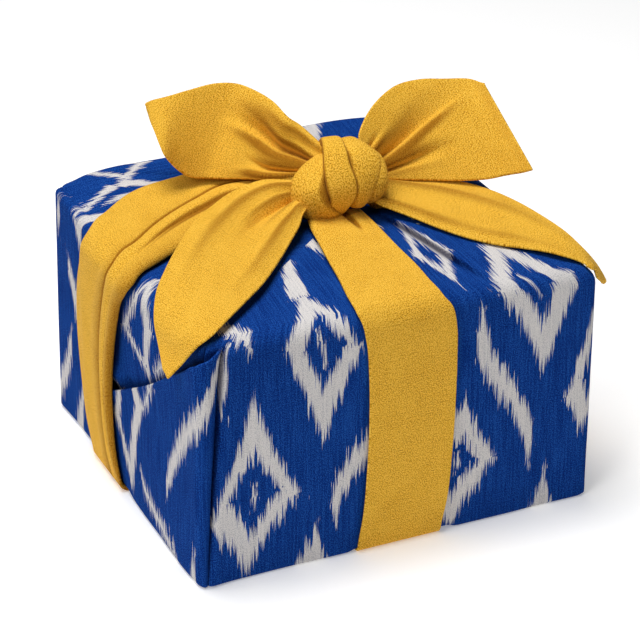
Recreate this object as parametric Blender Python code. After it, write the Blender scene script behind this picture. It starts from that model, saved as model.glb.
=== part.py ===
"""Furoshiki wrap: a filled, box-shaped bundle in patterned cloth, tied both ways with a plain sash.

Every size below is in millimetres. make_object scales each mesh to metres once.
Origin: bottom centre of the bundle, +X along the front face, +Y to the back, +Z up.
"""
import math
from collections import namedtuple

import bmesh
import bpy
import numpy as np

MM = 0.001

# --- filled wrap ---
WRAP_HALF_X = 100.0
WRAP_HALF_Y = 96.5
WRAP_TOP = 123.0
WRAP_BOTTOM = 1.8
CORNER_RADIUS = 6.0
TOP_RADIUS = 9.0
BOTTOM_RADIUS = 4.0
CROWN = 3.0
FACE_BULGE = 1.2
GATHER_POINT = (14.0, 3.0)

# folds of the top cloth, drawn in towards the knot; each stands highest just left of its run
TopFold = namedtuple("TopFold", "from_x from_y to_x to_y height width")
TOP_FOLD_LIP = 3.0
TOP_FOLDS = [
    TopFold(34.0, 10.0, 50.0, -85.0, 3.4, 24.0),
    TopFold(-84.0, 91.0, -8.0, 58.0, 1.8, 10.0),
    TopFold(82.0, 84.0, 44.0, 30.0, 2.6, 14.0),
    TopFold(-82.0, -84.0, -20.0, -22.0, 1.2, 14.0),
]

# envelope flap: its free edge climbs the left face towards the front corner
FLAP_THICKNESS = 2.4
FLAP_RECESS = 1.6
FLAP_RECESS_REACH = 12.0
CREASE_DEPTH = 1.2
CREASE_TOP_X = -88.0
CREASE_FOOT_X = -99.0
CREASE_TOP_Z = 112.0
FlapRow = namedtuple("FlapRow", "y z strength")
FLAP_EDGE = [
    FlapRow(-96.5, 112.0, 1.0),
    FlapRow(-74.0, 101.0, 1.0),
    FlapRow(-42.0, 80.0, 1.0),
    FlapRow(-15.0, 64.5, 1.0),
    FlapRow(7.0, 53.0, 1.0),
    FlapRow(30.0, 45.0, 1.0),
    FlapRow(50.0, 42.0, 0.0),
    FlapRow(96.5, 60.0, 0.0),
]

# square recess under the wrap where the two strips cross
RECESS_CENTRE = (2.0, -1.5)
RECESS_RISE = 1.8
RECESS_HALF = 36.0
RECESS_SLOPE = 4.0

# --- sash strips ---
SASH_THICKNESS = 1.5
SASH_GAP = 0.3
CROSSING_HALF = 23.0
CROSSING_RAMP = 6.0
# leg: 0 knot, 1 top edge, 2 bottom edge, 3 far bottom edge, 4 far top edge, 5 knot again
StripRow = namedtuple("StripRow", "leg centre half lift pleat")
FRONT_BACK_START = -5.0
FRONT_BACK_END = 14.0
FRONT_BACK = [
    StripRow(0.00, 11.0, 12.0, 0.8, 0.9),
    StripRow(0.10, 10.0, 14.0, 1.2, 0.9),
    StripRow(0.30, 7.5, 18.0, 1.0, 0.3),
    StripRow(0.60, 4.5, 20.5, 0.3, 0.0),
    StripRow(1.00, 3.5, 22.0, 0.1, 0.0),
    StripRow(1.45, 5.0, 22.0, 0.1, 0.0),
    StripRow(2.00, 0.0, 21.5, 0.0, 0.0),
    StripRow(3.00, 0.0, 21.5, 0.0, 0.0),
    StripRow(3.50, 3.0, 22.0, 0.1, 0.0),
    StripRow(4.00, 6.0, 22.0, 0.1, 0.0),
    StripRow(4.50, 12.0, 17.0, 1.0, 0.3),
    StripRow(4.85, 16.0, 11.0, 4.0, 0.9),
    StripRow(5.00, 17.0, 9.0, 6.0, 0.9),
]
LEFT_RIGHT_START = 2.0
LEFT_RIGHT_END = 28.0
LEFT_RIGHT = [
    StripRow(0.00, 7.0, 6.0, 8.5, 0.3),
    StripRow(0.15, 16.0, 12.0, 7.5, 0.6),
    StripRow(0.30, 23.0, 19.0, 6.0, 0.9),
    StripRow(0.55, 28.0, 26.0, 4.0, 1.0),
    StripRow(0.80, 21.0, 29.0, 2.0, 1.0),
    StripRow(1.00, 12.0, 29.0, 0.8, 1.0),
    StripRow(1.20, 24.0, 27.0, 0.5, 1.0),
    StripRow(1.45, 31.0, 24.0, 0.5, 1.0),
    StripRow(1.75, 32.0, 21.5, 0.4, 0.8),
    StripRow(1.95, 26.0, 20.2, 0.0, 0.0),
    StripRow(2.50, -2.0, 21.0, 0.0, 0.0),
    StripRow(3.05, -30.0, 21.0, 0.0, 0.0),
    StripRow(3.50, -38.0, 22.0, 0.4, 0.6),
    StripRow(4.00, -44.0, 21.0, 0.2, 0.5),
    StripRow(4.50, -23.0, 14.0, 0.3, 0.5),
    StripRow(5.00, -3.0, 6.0, 2.5, 0.2),
]
# pleat across a strip, from its first edge (-1) to its second (1)
PleatRow = namedtuple("PleatRow", "across height")
PLEAT = [
    PleatRow(-1.00, 0.2),
    PleatRow(-0.62, 3.6),
    PleatRow(-0.32, 4.0),
    PleatRow(-0.20, 0.6),
    PleatRow(-0.02, 2.6),
    PleatRow(0.30, 1.8),
    PleatRow(0.68, 1.0),
    PleatRow(1.00, 0.2),
]

# --- knot ---
KNOT_CENTRE = (14.6, 2.0, 145.0)
KNOT_HALF_LENGTH = 22.5
KNOT_TURN_AXIS = -24.6
KNOT_TILT = 9.0
KNOT_FLOOR = 130.2
KNOT_CLEARANCE = 0.35
# radius along the knot, and how far the turns' grooves cut in
KnotRow = namedtuple("KnotRow", "along rise fall")
KNOT_PROFILE = [
    KnotRow(-22.5, 0.0, 0.0),
    KnotRow(-21.0, 5.5, 7.5),
    KnotRow(-17.0, 10.5, 13.5),
    KnotRow(-11.0, 14.0, 17.5),
    KnotRow(-5.0, 17.5, 18.5),
    KnotRow(2.0, 18.5, 17.5),
    KnotRow(9.0, 17.0, 15.0),
    KnotRow(15.0, 13.5, 12.5),
    KnotRow(20.0, 8.0, 8.0),
    KnotRow(22.5, 0.0, 0.0),
]
KnotGroove = namedtuple("KnotGroove", "along slant depth width")
KNOT_GROOVES = [
    KnotGroove(-7.0, -2.2, 3.2, 1.7),
    KnotGroove(3.6, -3.6, 3.4, 1.8),
    KnotGroove(14.2, -1.2, 2.4, 1.6),
]

# --- tails ---
TAIL_THICKNESS = 1.6
TAIL_REST_GAP = 0.9
TailRow = namedtuple("TailRow", "low_x low_y low_z high_x high_y high_z")
TailFold = namedtuple("TailFold", "across depth width reach")
TAIL_UPPER_LEFT = [
    TailRow(11.0, 8.0, 141.0, 12.5, 7.0, 152.0),
    TailRow(3.0, 21.0, 141.0, 5.0, 21.5, 155.0),
    TailRow(-2.6, 27.0, 137.0, 4.2, 40.7, 161.0),
    TailRow(-12.2, 36.8, 135.5, -0.1, 56.2, 168.0),
    TailRow(-20.8, 43.8, 134.5, -7.5, 63.7, 172.0),
    TailRow(-30.6, 52.1, 134.0, -17.4, 69.2, 174.0),
    TailRow(-40.3, 54.2, 135.0, -30.1, 70.6, 173.0),
    TailRow(-49.6, 55.5, 140.0, -40.9, 72.5, 171.0),
    TailRow(-56.3, 58.9, 151.0, -50.4, 72.5, 170.0),
    TailRow(-56.9, 69.0, 162.0, -55.6, 74.5, 168.0),
]
FOLDS_UPPER_LEFT = [
    TailFold(0.66, 5.5, 0.15, 0.62),
    TailFold(0.20, 3.0, 0.11, 0.38),
    TailFold(0.42, -2.6, 0.13, 0.62),
]
TAIL_UPPER_RIGHT = [
    TailRow(27.0, -1.0, 141.0, 24.0, 3.0, 152.0),
    TailRow(39.1, 4.0, 142.0, 33.6, 13.0, 156.0),
    TailRow(48.7, 4.5, 140.0, 37.7, 29.8, 163.0),
    TailRow(58.3, 1.5, 138.0, 45.6, 33.9, 168.0),
    TailRow(69.9, -3.9, 135.5, 58.0, 37.3, 172.0),
    TailRow(81.2, -8.4, 135.5, 69.0, 34.0, 174.0),
    TailRow(91.2, -15.2, 138.0, 82.4, 27.9, 174.0),
    TailRow(99.9, -19.4, 141.0, 93.5, 24.8, 173.0),
    TailRow(104.7, -22.6, 143.0, 97.8, 19.1, 172.0),
]
FOLDS_UPPER_RIGHT = [
    TailFold(0.55, 5.5, 0.12, 0.85),
    TailFold(0.27, 3.2, 0.10, 0.55),
    TailFold(0.41, -2.2, 0.10, 0.70),
    TailFold(0.78, -2.5, 0.16, 0.70),
]
TAIL_LOWER_LEFT = [
    TailRow(9.0, 3.5, 142.0, 6.0, -3.0, 138.0),
    TailRow(-3.0, 13.0, 142.5, -9.2, -0.8, 136.5),
    TailRow(-13.5, 11.9, 142.0, -15.3, -13.1, 133.5),
    TailRow(-28.5, 10.9, 141.0, -26.5, -32.3, 131.0),
    TailRow(-45.2, 4.6, 138.5, -42.2, -54.0, 130.0),
    TailRow(-63.2, -8.1, 135.0, -58.1, -72.4, 129.0),
    TailRow(-77.2, -23.0, 132.0, -73.6, -86.9, 128.5),
    TailRow(-89.3, -38.2, 129.0, -87.9, -98.1, 128.0),
    TailRow(-100.1, -54.3, 127.0, -99.3, -104.0, 127.0),
    TailRow(-107.7, -67.0, 121.0, -106.7, -102.0, 121.0),
    TailRow(-110.2, -74.2, 114.0, -108.6, -91.4, 112.0),
    TailRow(-110.9, -80.1, 107.0, -110.3, -84.5, 106.0),
]
FOLDS_LOWER_LEFT = [
    TailFold(0.62, 3.0, 0.16, 0.45),
    TailFold(0.30, -3.2, 0.22, 0.60),
    TailFold(0.88, -1.6, 0.12, 0.40),
]
TAIL_RIGHT = [
    TailRow(27.0, 1.0, 138.5, 21.0, -6.0, 136.5),
    TailRow(39.0, 4.5, 136.0, 32.6, -5.5, 134.0),
    TailRow(53.2, 6.3, 133.5, 39.5, -16.1, 132.0),
    TailRow(68.0, 3.1, 133.0, 46.2, -29.4, 130.5),
    TailRow(82.9, -0.1, 131.5, 56.2, -46.4, 129.0),
    TailRow(90.1, -12.7, 130.5, 65.6, -63.9, 128.5),
    TailRow(96.1, -32.3, 129.5, 75.7, -74.6, 128.0),
    TailRow(101.4, -47.6, 128.0, 84.6, -84.5, 127.5),
    TailRow(104.1, -67.0, 125.0, 93.5, -93.0, 125.0),
    TailRow(107.0, -77.5, 119.0, 103.0, -91.7, 116.5),
    TailRow(112.4, -80.5, 107.0, 109.6, -83.5, 106.5),
]
FOLDS_RIGHT = [
    TailFold(0.22, 2.6, 0.12, 0.45),
    TailFold(0.42, -2.2, 0.16, 0.55),
    TailFold(0.80, -1.2, 0.14, 0.40),
]

# --- mesh density ---
TOP_RINGS = (0.12, 0.27, 0.42, 0.57, 0.72, 0.87)
SIDE_ROWS = 4
TAIL_STEPS_ALONG = 13
TAIL_STEPS_ACROSS = 9
KNOT_STEPS_ROUND = 24

# --- finishes: colour, roughness ---
BLUE_COTTON = ((0.011, 0.047, 0.300), 0.85)
YELLOW_COTTON = ((0.760, 0.400, 0.027), 0.82)


def smooth_step(x):
    x = np.clip(x, 0.0, 1.0)
    return x * x * (3.0 - 2.0 * x)


def column(rows, name):
    return np.array([getattr(row, name) for row in rows])


def catmull_rom(points, places):
    """Smooth curve through the rows of points, read at places counted in rows."""
    last = len(points) - 1
    index = np.clip(np.floor(places).astype(int), 0, last - 1)
    t = (places - index)[:, None]
    before = points[np.maximum(index - 1, 0)]
    start = points[index]
    end = points[index + 1]
    after = points[np.minimum(index + 2, last)]
    bend = 2.0 * before - 5.0 * start + 4.0 * end - after
    twist = 3.0 * (start - end) + after - before
    return start + 0.5 * t * ((end - before) + t * (bend + t * twist))


def top_relief(x, y):
    """Height of the wrap's top over WRAP_TOP: its crown and the folds drawn in to the knot."""
    centred_x = np.clip(x / WRAP_HALF_X, -1.0, 1.0)
    centred_y = np.clip(y / WRAP_HALF_Y, -1.0, 1.0)
    height = CROWN * (1.0 - centred_x ** 2) * (1.0 - centred_y ** 2)
    for fold in TOP_FOLDS:
        run_x = fold.to_x - fold.from_x
        run_y = fold.to_y - fold.from_y
        length = math.hypot(run_x, run_y)
        aside = ((y - fold.from_y) * run_x - (x - fold.from_x) * run_y) / length
        along = ((x - fold.from_x) * run_x + (y - fold.from_y) * run_y) / length ** 2
        ends = smooth_step((along + 0.1) / 0.3) * smooth_step((1.05 - along) / 0.4)
        lip = smooth_step(aside / TOP_FOLD_LIP) * np.exp(-np.maximum(aside, 0.0) / fold.width)
        height = height + fold.height * lip * ends
    return height


def face_bulge(along_share, z):
    """How far a side face stands out at a share of its half length (-1 to 1) and a height."""
    up_share = (z - WRAP_BOTTOM) / (WRAP_TOP - WRAP_BOTTOM)
    return FACE_BULGE * (1.0 - along_share ** 2) * np.clip(4.0 * up_share * (1.0 - up_share), 0.0, 1.0)


def outline():
    """Points of the wrap's sharp plan rectangle, closer together at corners and folds."""
    corner = CORNER_RADIUS / WRAP_HALF_X
    crease = CREASE_TOP_X / WRAP_HALF_X
    even = np.linspace(-0.76, 1.0 - corner, 11)
    start = [-1.0, -1.0 + 0.4 * corner, -1.0 + corner, crease - 0.006, crease]
    front = np.concatenate((start, even, [1.0 - 0.4 * corner]))
    side = np.concatenate((start[:3], np.linspace(-0.8, 1.0 - corner, 11), [1.0 - 0.4 * corner]))
    pairs = [
        np.stack((front, -np.ones_like(front)), 1),
        np.stack((np.ones_like(side), side), 1),
        np.stack((-front, np.ones_like(front)), 1),
        np.stack((-np.ones_like(side), -side), 1),
    ]
    return np.concatenate(pairs) * (WRAP_HALF_X, WRAP_HALF_Y)


def round_corners(plan):
    """Plan points moved on to the rounded rectangle, and their outward directions."""
    inner = np.array([WRAP_HALF_X - CORNER_RADIUS, WRAP_HALF_Y - CORNER_RADIUS])
    centre = np.clip(plan, -inner, inner)
    outward = plan - centre
    outward = outward / np.linalg.norm(outward, axis=1)[:, None]
    return centre + CORNER_RADIUS * outward, outward


def follow_crease(plan, z):
    """Front and back columns near the crease lean with it towards the corner's foot."""
    share = np.clip(z / CREASE_TOP_Z, 0.0, 1.0)
    lean = (CREASE_TOP_X - CREASE_FOOT_X) * (1.0 - share)
    turned = plan * np.sign(-plan[:, 1:2])
    on_face = np.abs(plan[:, 1]) >= WRAP_HALF_Y - 0.001
    from_corner = np.clip((turned[:, 0] + WRAP_HALF_X) / (CREASE_TOP_X + WRAP_HALF_X), 0.0, 1.0)
    past = np.clip((turned[:, 0] - CREASE_TOP_X) / (WRAP_HALF_X * 0.4), 0.0, 1.0)
    shift = lean * from_corner * (1.0 - past) * on_face
    moved = plan.copy()
    moved[:, 0] -= shift * np.sign(-plan[:, 1])
    return moved


def flap_state(plan):
    """Height of the flap's free edge and how far the flap stands out, for each plan point."""
    is_left = plan[:, 0] < -WRAP_HALF_X + 0.001
    is_right = plan[:, 0] > WRAP_HALF_X - 0.001
    y = np.where(is_left, plan[:, 1], -plan[:, 1])
    edge_z = np.interp(y, column(FLAP_EDGE, "y"), column(FLAP_EDGE, "z"))
    strength = np.interp(y, column(FLAP_EDGE, "y"), column(FLAP_EDGE, "strength"))
    along = np.where(plan[:, 1] < 0.0, plan[:, 0], -plan[:, 0])
    first, last = FLAP_EDGE[0].z, FLAP_EDGE[-1].z
    front_z = first + (last - first) * smooth_step((along - CREASE_TOP_X) / 80.0)
    on_side = is_left | is_right
    return np.where(on_side, edge_z, front_z), np.where(on_side, strength, 0.0)


def crease_step(plan):
    """1 on the narrow front strip between the corner and the crease, 0 beyond it."""
    along = np.where(plan[:, 1] < 0.0, plan[:, 0], -plan[:, 0])
    on_face = np.abs(plan[:, 1]) >= WRAP_HALF_Y - 0.001
    return (on_face & (along < CREASE_TOP_X - 0.3)).astype(float)


def side_row(sharp, z, below_flap, inset=0.0, radius=1.0):
    """One ring round the side of the wrap, at height z (one value or one a column).

    On an edge's arc of the given radius, inset is how far the ring has turned inwards.
    """
    z = np.broadcast_to(z, len(sharp)).astype(float)
    edge_z, strength = flap_state(sharp)
    plan, outward = round_corners(follow_crease(sharp, z))
    away = np.maximum(z - edge_z, 0.0)
    flap = np.where(below_flap, FLAP_THICKNESS, -FLAP_RECESS * np.exp(-away / FLAP_RECESS_REACH))
    crease = -CREASE_DEPTH * crease_step(sharp) * smooth_step((CREASE_TOP_Z - z) / 6.0)
    along = np.where(np.abs(outward[:, 0]) > np.abs(outward[:, 1]),
                     sharp[:, 1] / WRAP_HALF_Y, sharp[:, 0] / WRAP_HALF_X)
    out = (flap * strength + crease + face_bulge(along, z)) * (1.0 - inset / radius)
    shrink = 1.0 - inset / np.array([WRAP_HALF_X, WRAP_HALF_Y])
    return np.column_stack((plan * shrink + outward * out[:, None], z))


def wrap_rings():
    """Rings of the wrap from its underside to its top, every ring with the same columns."""
    sharp = outline()
    edge_z, _ = flap_state(sharp)
    rounded, _ = round_corners(sharp)
    rings = []
    for share in (0.45, 1.0):
        square = np.clip(sharp, -WRAP_HALF_Y, WRAP_HALF_Y) / WRAP_HALF_Y * RECESS_HALF * share
        rings.append(np.column_stack((square + RECESS_CENTRE, np.full(len(sharp), WRAP_BOTTOM + RECESS_RISE))))
    square = np.clip(sharp, -WRAP_HALF_Y, WRAP_HALF_Y) / WRAP_HALF_Y * (RECESS_HALF + RECESS_SLOPE)
    rings.append(np.column_stack((square + RECESS_CENTRE, np.full(len(sharp), WRAP_BOTTOM))))
    flat = rounded * (1.0 - BOTTOM_RADIUS / np.array([WRAP_HALF_X, WRAP_HALF_Y]))
    middle = 0.5 * (flat + square + RECESS_CENTRE)
    rings.append(np.column_stack((middle, np.full(len(sharp), WRAP_BOTTOM))))
    rings.append(np.column_stack((flat, np.full(len(sharp), WRAP_BOTTOM))))
    for angle in (35.0, 65.0):
        inset = BOTTOM_RADIUS * (1.0 - math.sin(math.radians(angle)))
        z = WRAP_BOTTOM + BOTTOM_RADIUS * (1.0 - math.cos(math.radians(angle)))
        rings.append(side_row(sharp, z, True, inset, BOTTOM_RADIUS))
    foot = WRAP_BOTTOM + BOTTOM_RADIUS
    for share in np.linspace(0.0, 1.0, SIDE_ROWS + 1):
        rings.append(side_row(sharp, foot + (edge_z - foot) * share, True))
    shoulder = WRAP_TOP - TOP_RADIUS
    for share in np.linspace(0.0, 1.0, SIDE_ROWS + 1):
        z = edge_z + 0.5 + (shoulder - edge_z - 0.5) * share
        rings.append(side_row(sharp, z, False))
    for angle in (25.0, 50.0, 72.0):
        inset = TOP_RADIUS * (1.0 - math.cos(math.radians(angle)))
        z = shoulder + TOP_RADIUS * math.sin(math.radians(angle))
        rings.append(side_row(sharp, z, False, inset, TOP_RADIUS))
    edge = rounded * (1.0 - TOP_RADIUS / np.array([WRAP_HALF_X, WRAP_HALF_Y]))
    for share in (0.0,) + TOP_RINGS:
        plan = edge + (np.array(GATHER_POINT) - edge) * share
        z = WRAP_TOP + top_relief(plan[:, 0], plan[:, 1])
        rings.append(np.column_stack((plan, z)))
    return rings


def make_material(name, finish):
    colour, roughness = finish
    material = bpy.data.materials.new(name)
    material.use_nodes = True
    shader = material.node_tree.nodes["Principled BSDF"]
    shader.inputs["Base Color"].default_value = (*colour, 1.0)
    shader.inputs["Roughness"].default_value = roughness
    shader.inputs["Metallic"].default_value = 0.0
    return material


def make_object(name, bm, material):
    bmesh.ops.recalc_face_normals(bm, faces=bm.faces)
    bmesh.ops.scale(bm, vec=(MM, MM, MM), verts=bm.verts)
    mesh = bpy.data.meshes.new(name)
    bm.to_mesh(mesh)
    bm.free()
    mesh.materials.append(material)
    mesh.shade_smooth()
    obj = bpy.data.objects.new(name, mesh)
    bpy.context.scene.collection.objects.link(obj)
    return obj


def add_grid(bm, grid, closed):
    """Quads over a grid of points; closed joins the last column to the first."""
    rows = [[bm.verts.new(point) for point in row] for row in grid]
    count = len(rows[0])
    for lower, upper in zip(rows, rows[1:]):
        for i in range(count if closed else count - 1):
            j = (i + 1) % count
            bm.faces.new((lower[i], lower[j], upper[j], upper[i]))
    return rows


def add_pole(bm, ring, point):
    pole = bm.verts.new(point)
    for a, b in zip(ring, ring[1:] + ring[:1]):
        bm.faces.new((a, b, pole))


def make_wrap(material):
    bm = bmesh.new()
    rows = add_grid(bm, wrap_rings(), closed=True)
    add_pole(bm, rows[0], (*RECESS_CENTRE, WRAP_BOTTOM + RECESS_RISE))
    top = WRAP_TOP + float(top_relief(np.array(GATHER_POINT[0]), np.array(GATHER_POINT[1])))
    add_pole(bm, rows[-1], (*GATHER_POINT, top))
    return make_object("wrap_cloth", bm, material)


def leg_places(length, first_radius, last_radius, steps):
    """Shares of a leg where its stations lie: arcs at rounded ends, even steps between."""
    arc = [1.0 - math.tan(math.radians(angle)) for angle in (45.0, 30.0, 15.0, 0.0)]
    first = [share * first_radius / length for share in arc[1:]] if first_radius else [0.0]
    last = [1.0 - share * last_radius / length for share in arc[1:]][::-1] if last_radius else [1.0]
    middle = np.linspace(first[-1], last[0], steps + 1)[1:-1]
    return np.concatenate((first, middle, last))


def strip_stations(half, start, end):
    """Leg places of a strip's stations, and the sharp path's run and height there."""
    shoulder = (WRAP_TOP - TOP_RADIUS, WRAP_BOTTOM + BOTTOM_RADIUS)
    height = WRAP_TOP - WRAP_BOTTOM
    legs = [
        (leg_places(half + start, 0.0, TOP_RADIUS, 7), (start, WRAP_TOP), (-half, WRAP_TOP)),
        (leg_places(height, TOP_RADIUS, BOTTOM_RADIUS, 7), (-half, WRAP_TOP), (-half, WRAP_BOTTOM)),
        (leg_places(2 * half, BOTTOM_RADIUS, BOTTOM_RADIUS, 8), (-half, WRAP_BOTTOM), (half, WRAP_BOTTOM)),
        (leg_places(height, BOTTOM_RADIUS, TOP_RADIUS, 6), (half, WRAP_BOTTOM), (half, WRAP_TOP)),
        (leg_places(half - end, TOP_RADIUS, 0.0, 6), (half, WRAP_TOP), (end, WRAP_TOP)),
    ]
    places, run, rise = [], [], []
    for leg, (shares, begin, finish) in enumerate(legs):
        places.append(leg + shares)
        run.append(begin[0] + (finish[0] - begin[0]) * shares)
        rise.append(begin[1] + (finish[1] - begin[1]) * shares)
    return np.concatenate(places), np.concatenate(run), np.concatenate(rise), shoulder


def table_at(rows, key, places, name):
    return np.interp(places, column(rows, key), column(rows, name))


def crossing_places(half):
    """Leg places where the upper strip ramps over the lower one."""
    marks = (-CROSSING_HALF - CROSSING_RAMP, -CROSSING_HALF, CROSSING_HALF, CROSSING_HALF + CROSSING_RAMP)
    return [2.0 + (RECESS_CENTRE[0] + mark + half) / (2.0 * half) for mark in marks]


def strip_grid(rows, half, start, end, along_x, across_steps):
    """Middle surface of a strip: its path round the wrap, carried across its width."""
    places, run, rise, (shoulder, foot) = strip_stations(half, start, end)
    if along_x:
        extra = np.array(crossing_places(half))
        order = np.argsort(np.concatenate((places, extra)), kind="stable")
        run = np.concatenate((run, (extra - 2.0) * 2.0 * half - half))[order]
        rise = np.concatenate((rise, np.full(len(extra), WRAP_BOTTOM)))[order]
        places = np.concatenate((places, extra))[order]
    centre = table_at(rows, "leg", places, "centre")
    width = table_at(rows, "leg", places, "half")
    lift = table_at(rows, "leg", places, "lift")
    fold = table_at(rows, "leg", places, "pleat")
    radius = np.where(rise > 0.5 * (shoulder + foot), TOP_RADIUS, BOTTOM_RADIUS)
    inner_run = np.clip(run, -(half - radius), half - radius)
    inner_rise = np.clip(rise, foot, shoulder)
    aside = run - inner_run
    upward = rise - inner_rise
    size = np.hypot(aside, upward)
    aside = aside / size
    upward = upward / size
    other_half = WRAP_HALF_Y if along_x else WRAP_HALF_X
    grid = []
    for across in across_steps:
        spot = centre + across * width
        pleat = fold * np.interp(across, column(PLEAT, "across"), column(PLEAT, "height"))
        side_extra = (FLAP_THICKNESS + 0.2 if along_x else 0.0) * np.abs(aside)
        bulge = face_bulge(spot / other_half, rise) * np.abs(aside)
        offset = radius + SASH_GAP + 0.5 * SASH_THICKNESS + lift + pleat
        out = inner_run + aside * offset + np.sign(aside) * (side_extra + bulge)
        up = inner_rise + upward * offset
        x, y = (out, spot) if along_x else (spot, out)
        up = up + np.maximum(upward, 0.0) * top_relief(x, y)
        if along_x:
            from_centre = np.abs(run - RECESS_CENTRE[0])
            ramp = np.clip((CROSSING_HALF + CROSSING_RAMP - from_centre) / CROSSING_RAMP, 0.0, 1.0)
            up = up + ramp * (SASH_THICKNESS + SASH_GAP) * (upward < -0.999)
        grid.append(np.column_stack((x, y, up)))
    return np.array(grid)


def make_sheet(name, grid, thickness, material, cutter=None):
    """An open grid given its thickness to both sides, trimmed where it enters the knot."""
    bm = bmesh.new()
    add_grid(bm, grid, closed=False)
    obj = make_object(name, bm, material)
    solid = obj.modifiers.new("thickness", "SOLIDIFY")
    solid.thickness = thickness * MM
    solid.offset = 0.0
    if cutter is not None:
        trim = obj.modifiers.new("trim at the knot", "BOOLEAN")
        trim.operation = "DIFFERENCE"
        trim.solver = "EXACT"
        trim.object = cutter
    return obj


def knot_radius(along, angle):
    """Distance from the knot's axis at a place along it and an angle round it."""
    places = column(KNOT_PROFILE, "along")
    rise = np.interp(along, places, column(KNOT_PROFILE, "rise"))
    fall = np.interp(along, places, column(KNOT_PROFILE, "fall"))
    upward = 0.5 + 0.5 * math.sin(angle)
    radius = fall + (rise - fall) * upward
    for groove in KNOT_GROOVES:
        middle = groove.along + groove.slant * math.sin(angle)
        depth = groove.depth * np.exp(-((along - middle) / groove.width) ** 2)
        radius = radius - depth * np.clip(radius / 12.0, 0.0, 1.0)
    return radius


def knot_rings(clearance):
    """Rings round the knot's axis, from one end to the other; its underside rests flat."""
    places = np.array([-21.6, -19.0, -15.0, -11.0, -8.5, -7.0, -5.5, -2.5, 0.5, 2.4, 3.8, 5.2,
                       8.0, 11.0, 12.8, 14.4, 16.0, 18.0, 20.2, 21.7])
    turn = math.radians(KNOT_TURN_AXIS)
    tilt = math.radians(KNOT_TILT)
    axis = np.array([math.cos(turn) * math.cos(tilt), math.sin(turn) * math.cos(tilt), math.sin(tilt)])
    back = np.array([-math.sin(turn), math.cos(turn), 0.0])
    up = np.cross(axis, back)
    rings = []
    for along in places:
        ring = []
        for step in range(KNOT_STEPS_ROUND):
            angle = 2.0 * math.pi * step / KNOT_STEPS_ROUND
            radius = float(knot_radius(along, angle)) + clearance
            point = axis * along + radius * (0.88 * math.cos(angle) * back + math.sin(angle) * up)
            point = point + np.array(KNOT_CENTRE)
            point[2] = max(point[2], KNOT_FLOOR - clearance)
            ring.append(point)
        rings.append(ring)
    ends = [np.array(KNOT_CENTRE) + axis * side * (KNOT_HALF_LENGTH + clearance) for side in (-1.0, 1.0)]
    return rings, ends


def make_knot(name, material, clearance=0.0):
    bm = bmesh.new()
    rings, ends = knot_rings(clearance)
    rows = add_grid(bm, rings, closed=True)
    add_pole(bm, rows[0], ends[0])
    add_pole(bm, rows[-1], ends[1])
    return make_object(name, bm, material)


def strip_height(rows, half, start, end, along_x, x, y):
    """Upper surface of a strip's two top legs over plan points, or far below where it isn't."""
    run = x if along_x else y
    spot = y if along_x else x
    height = np.full(np.shape(x), -1000.0)
    legs = ((run <= start, (start - run) / (half + start)), (run >= end, 5.0 - (run - end) / (half - end)))
    for covers, place in legs:
        centre = table_at(rows, "leg", place, "centre")
        width = table_at(rows, "leg", place, "half")
        across = (spot - centre) / width
        pleat = table_at(rows, "leg", place, "pleat") * np.interp(
            across, column(PLEAT, "across"), column(PLEAT, "height"))
        top = WRAP_TOP + top_relief(x, y) + SASH_GAP + SASH_THICKNESS
        top = top + table_at(rows, "leg", place, "lift") + pleat
        here = covers & (np.abs(across) <= 1.03) & (np.abs(run) < half + 3.0)
        height = np.where(here, np.maximum(height, top), height)
    return height


def rest_height(x, y):
    """Highest thing below a plan point: the wrap's top or a strip on it, with a little reach."""
    inside = (np.abs(x) < WRAP_HALF_X) & (np.abs(y) < WRAP_HALF_Y)
    height = np.where(inside, WRAP_TOP + top_relief(x, y), -1000.0)
    for reach_x in (-4.0, 0.0, 4.0):
        for reach_y in (-4.0, 0.0, 4.0):
            spot_x, spot_y = x + reach_x, y + reach_y
            for rows, half, start, end, along_x in strip_runs():
                over = strip_height(rows, half, start, end, along_x, spot_x, spot_y)
                height = np.maximum(height, over)
    return height


def strip_runs():
    return (
        (FRONT_BACK, WRAP_HALF_Y, FRONT_BACK_START, FRONT_BACK_END, False),
        (LEFT_RIGHT, WRAP_HALF_X, LEFT_RIGHT_START, LEFT_RIGHT_END, True),
    )


def tail_grid(rows, folds):
    """Middle surface of a tail: straight from its low to its high edge, then folded and rested."""
    places = np.linspace(0.0, len(rows) - 1.0, TAIL_STEPS_ALONG)
    low = catmull_rom(np.array([row[:3] for row in rows]), places)
    high = catmull_rom(np.array([row[3:] for row in rows]), places)
    share = places / places[-1]
    across = np.linspace(0.0, 1.0, TAIL_STEPS_ACROSS)
    width = np.linalg.norm(high - low, axis=1)
    run = np.gradient(0.5 * (low + high), axis=0)
    facing = np.cross(high - low, run)
    facing = facing / np.linalg.norm(facing, axis=1)[:, None]
    grid = []
    for u in across:
        depth = np.zeros_like(share)
        for fold in folds:
            fade = smooth_step((fold.reach - share) / fold.reach)
            bell = math.exp(-((u - fold.across) / fold.width) ** 2)
            depth = depth + fold.depth * bell * fade * np.clip(width / 24.0, 0.0, 1.0)
        point = low + (high - low) * u + facing * depth[:, None]
        floor = rest_height(point[:, 0], point[:, 1]) + TAIL_REST_GAP + 0.5 * TAIL_THICKNESS
        point[:, 2] = np.maximum(point[:, 2], floor)
        grid.append(point)
    return np.array(grid)


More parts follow.
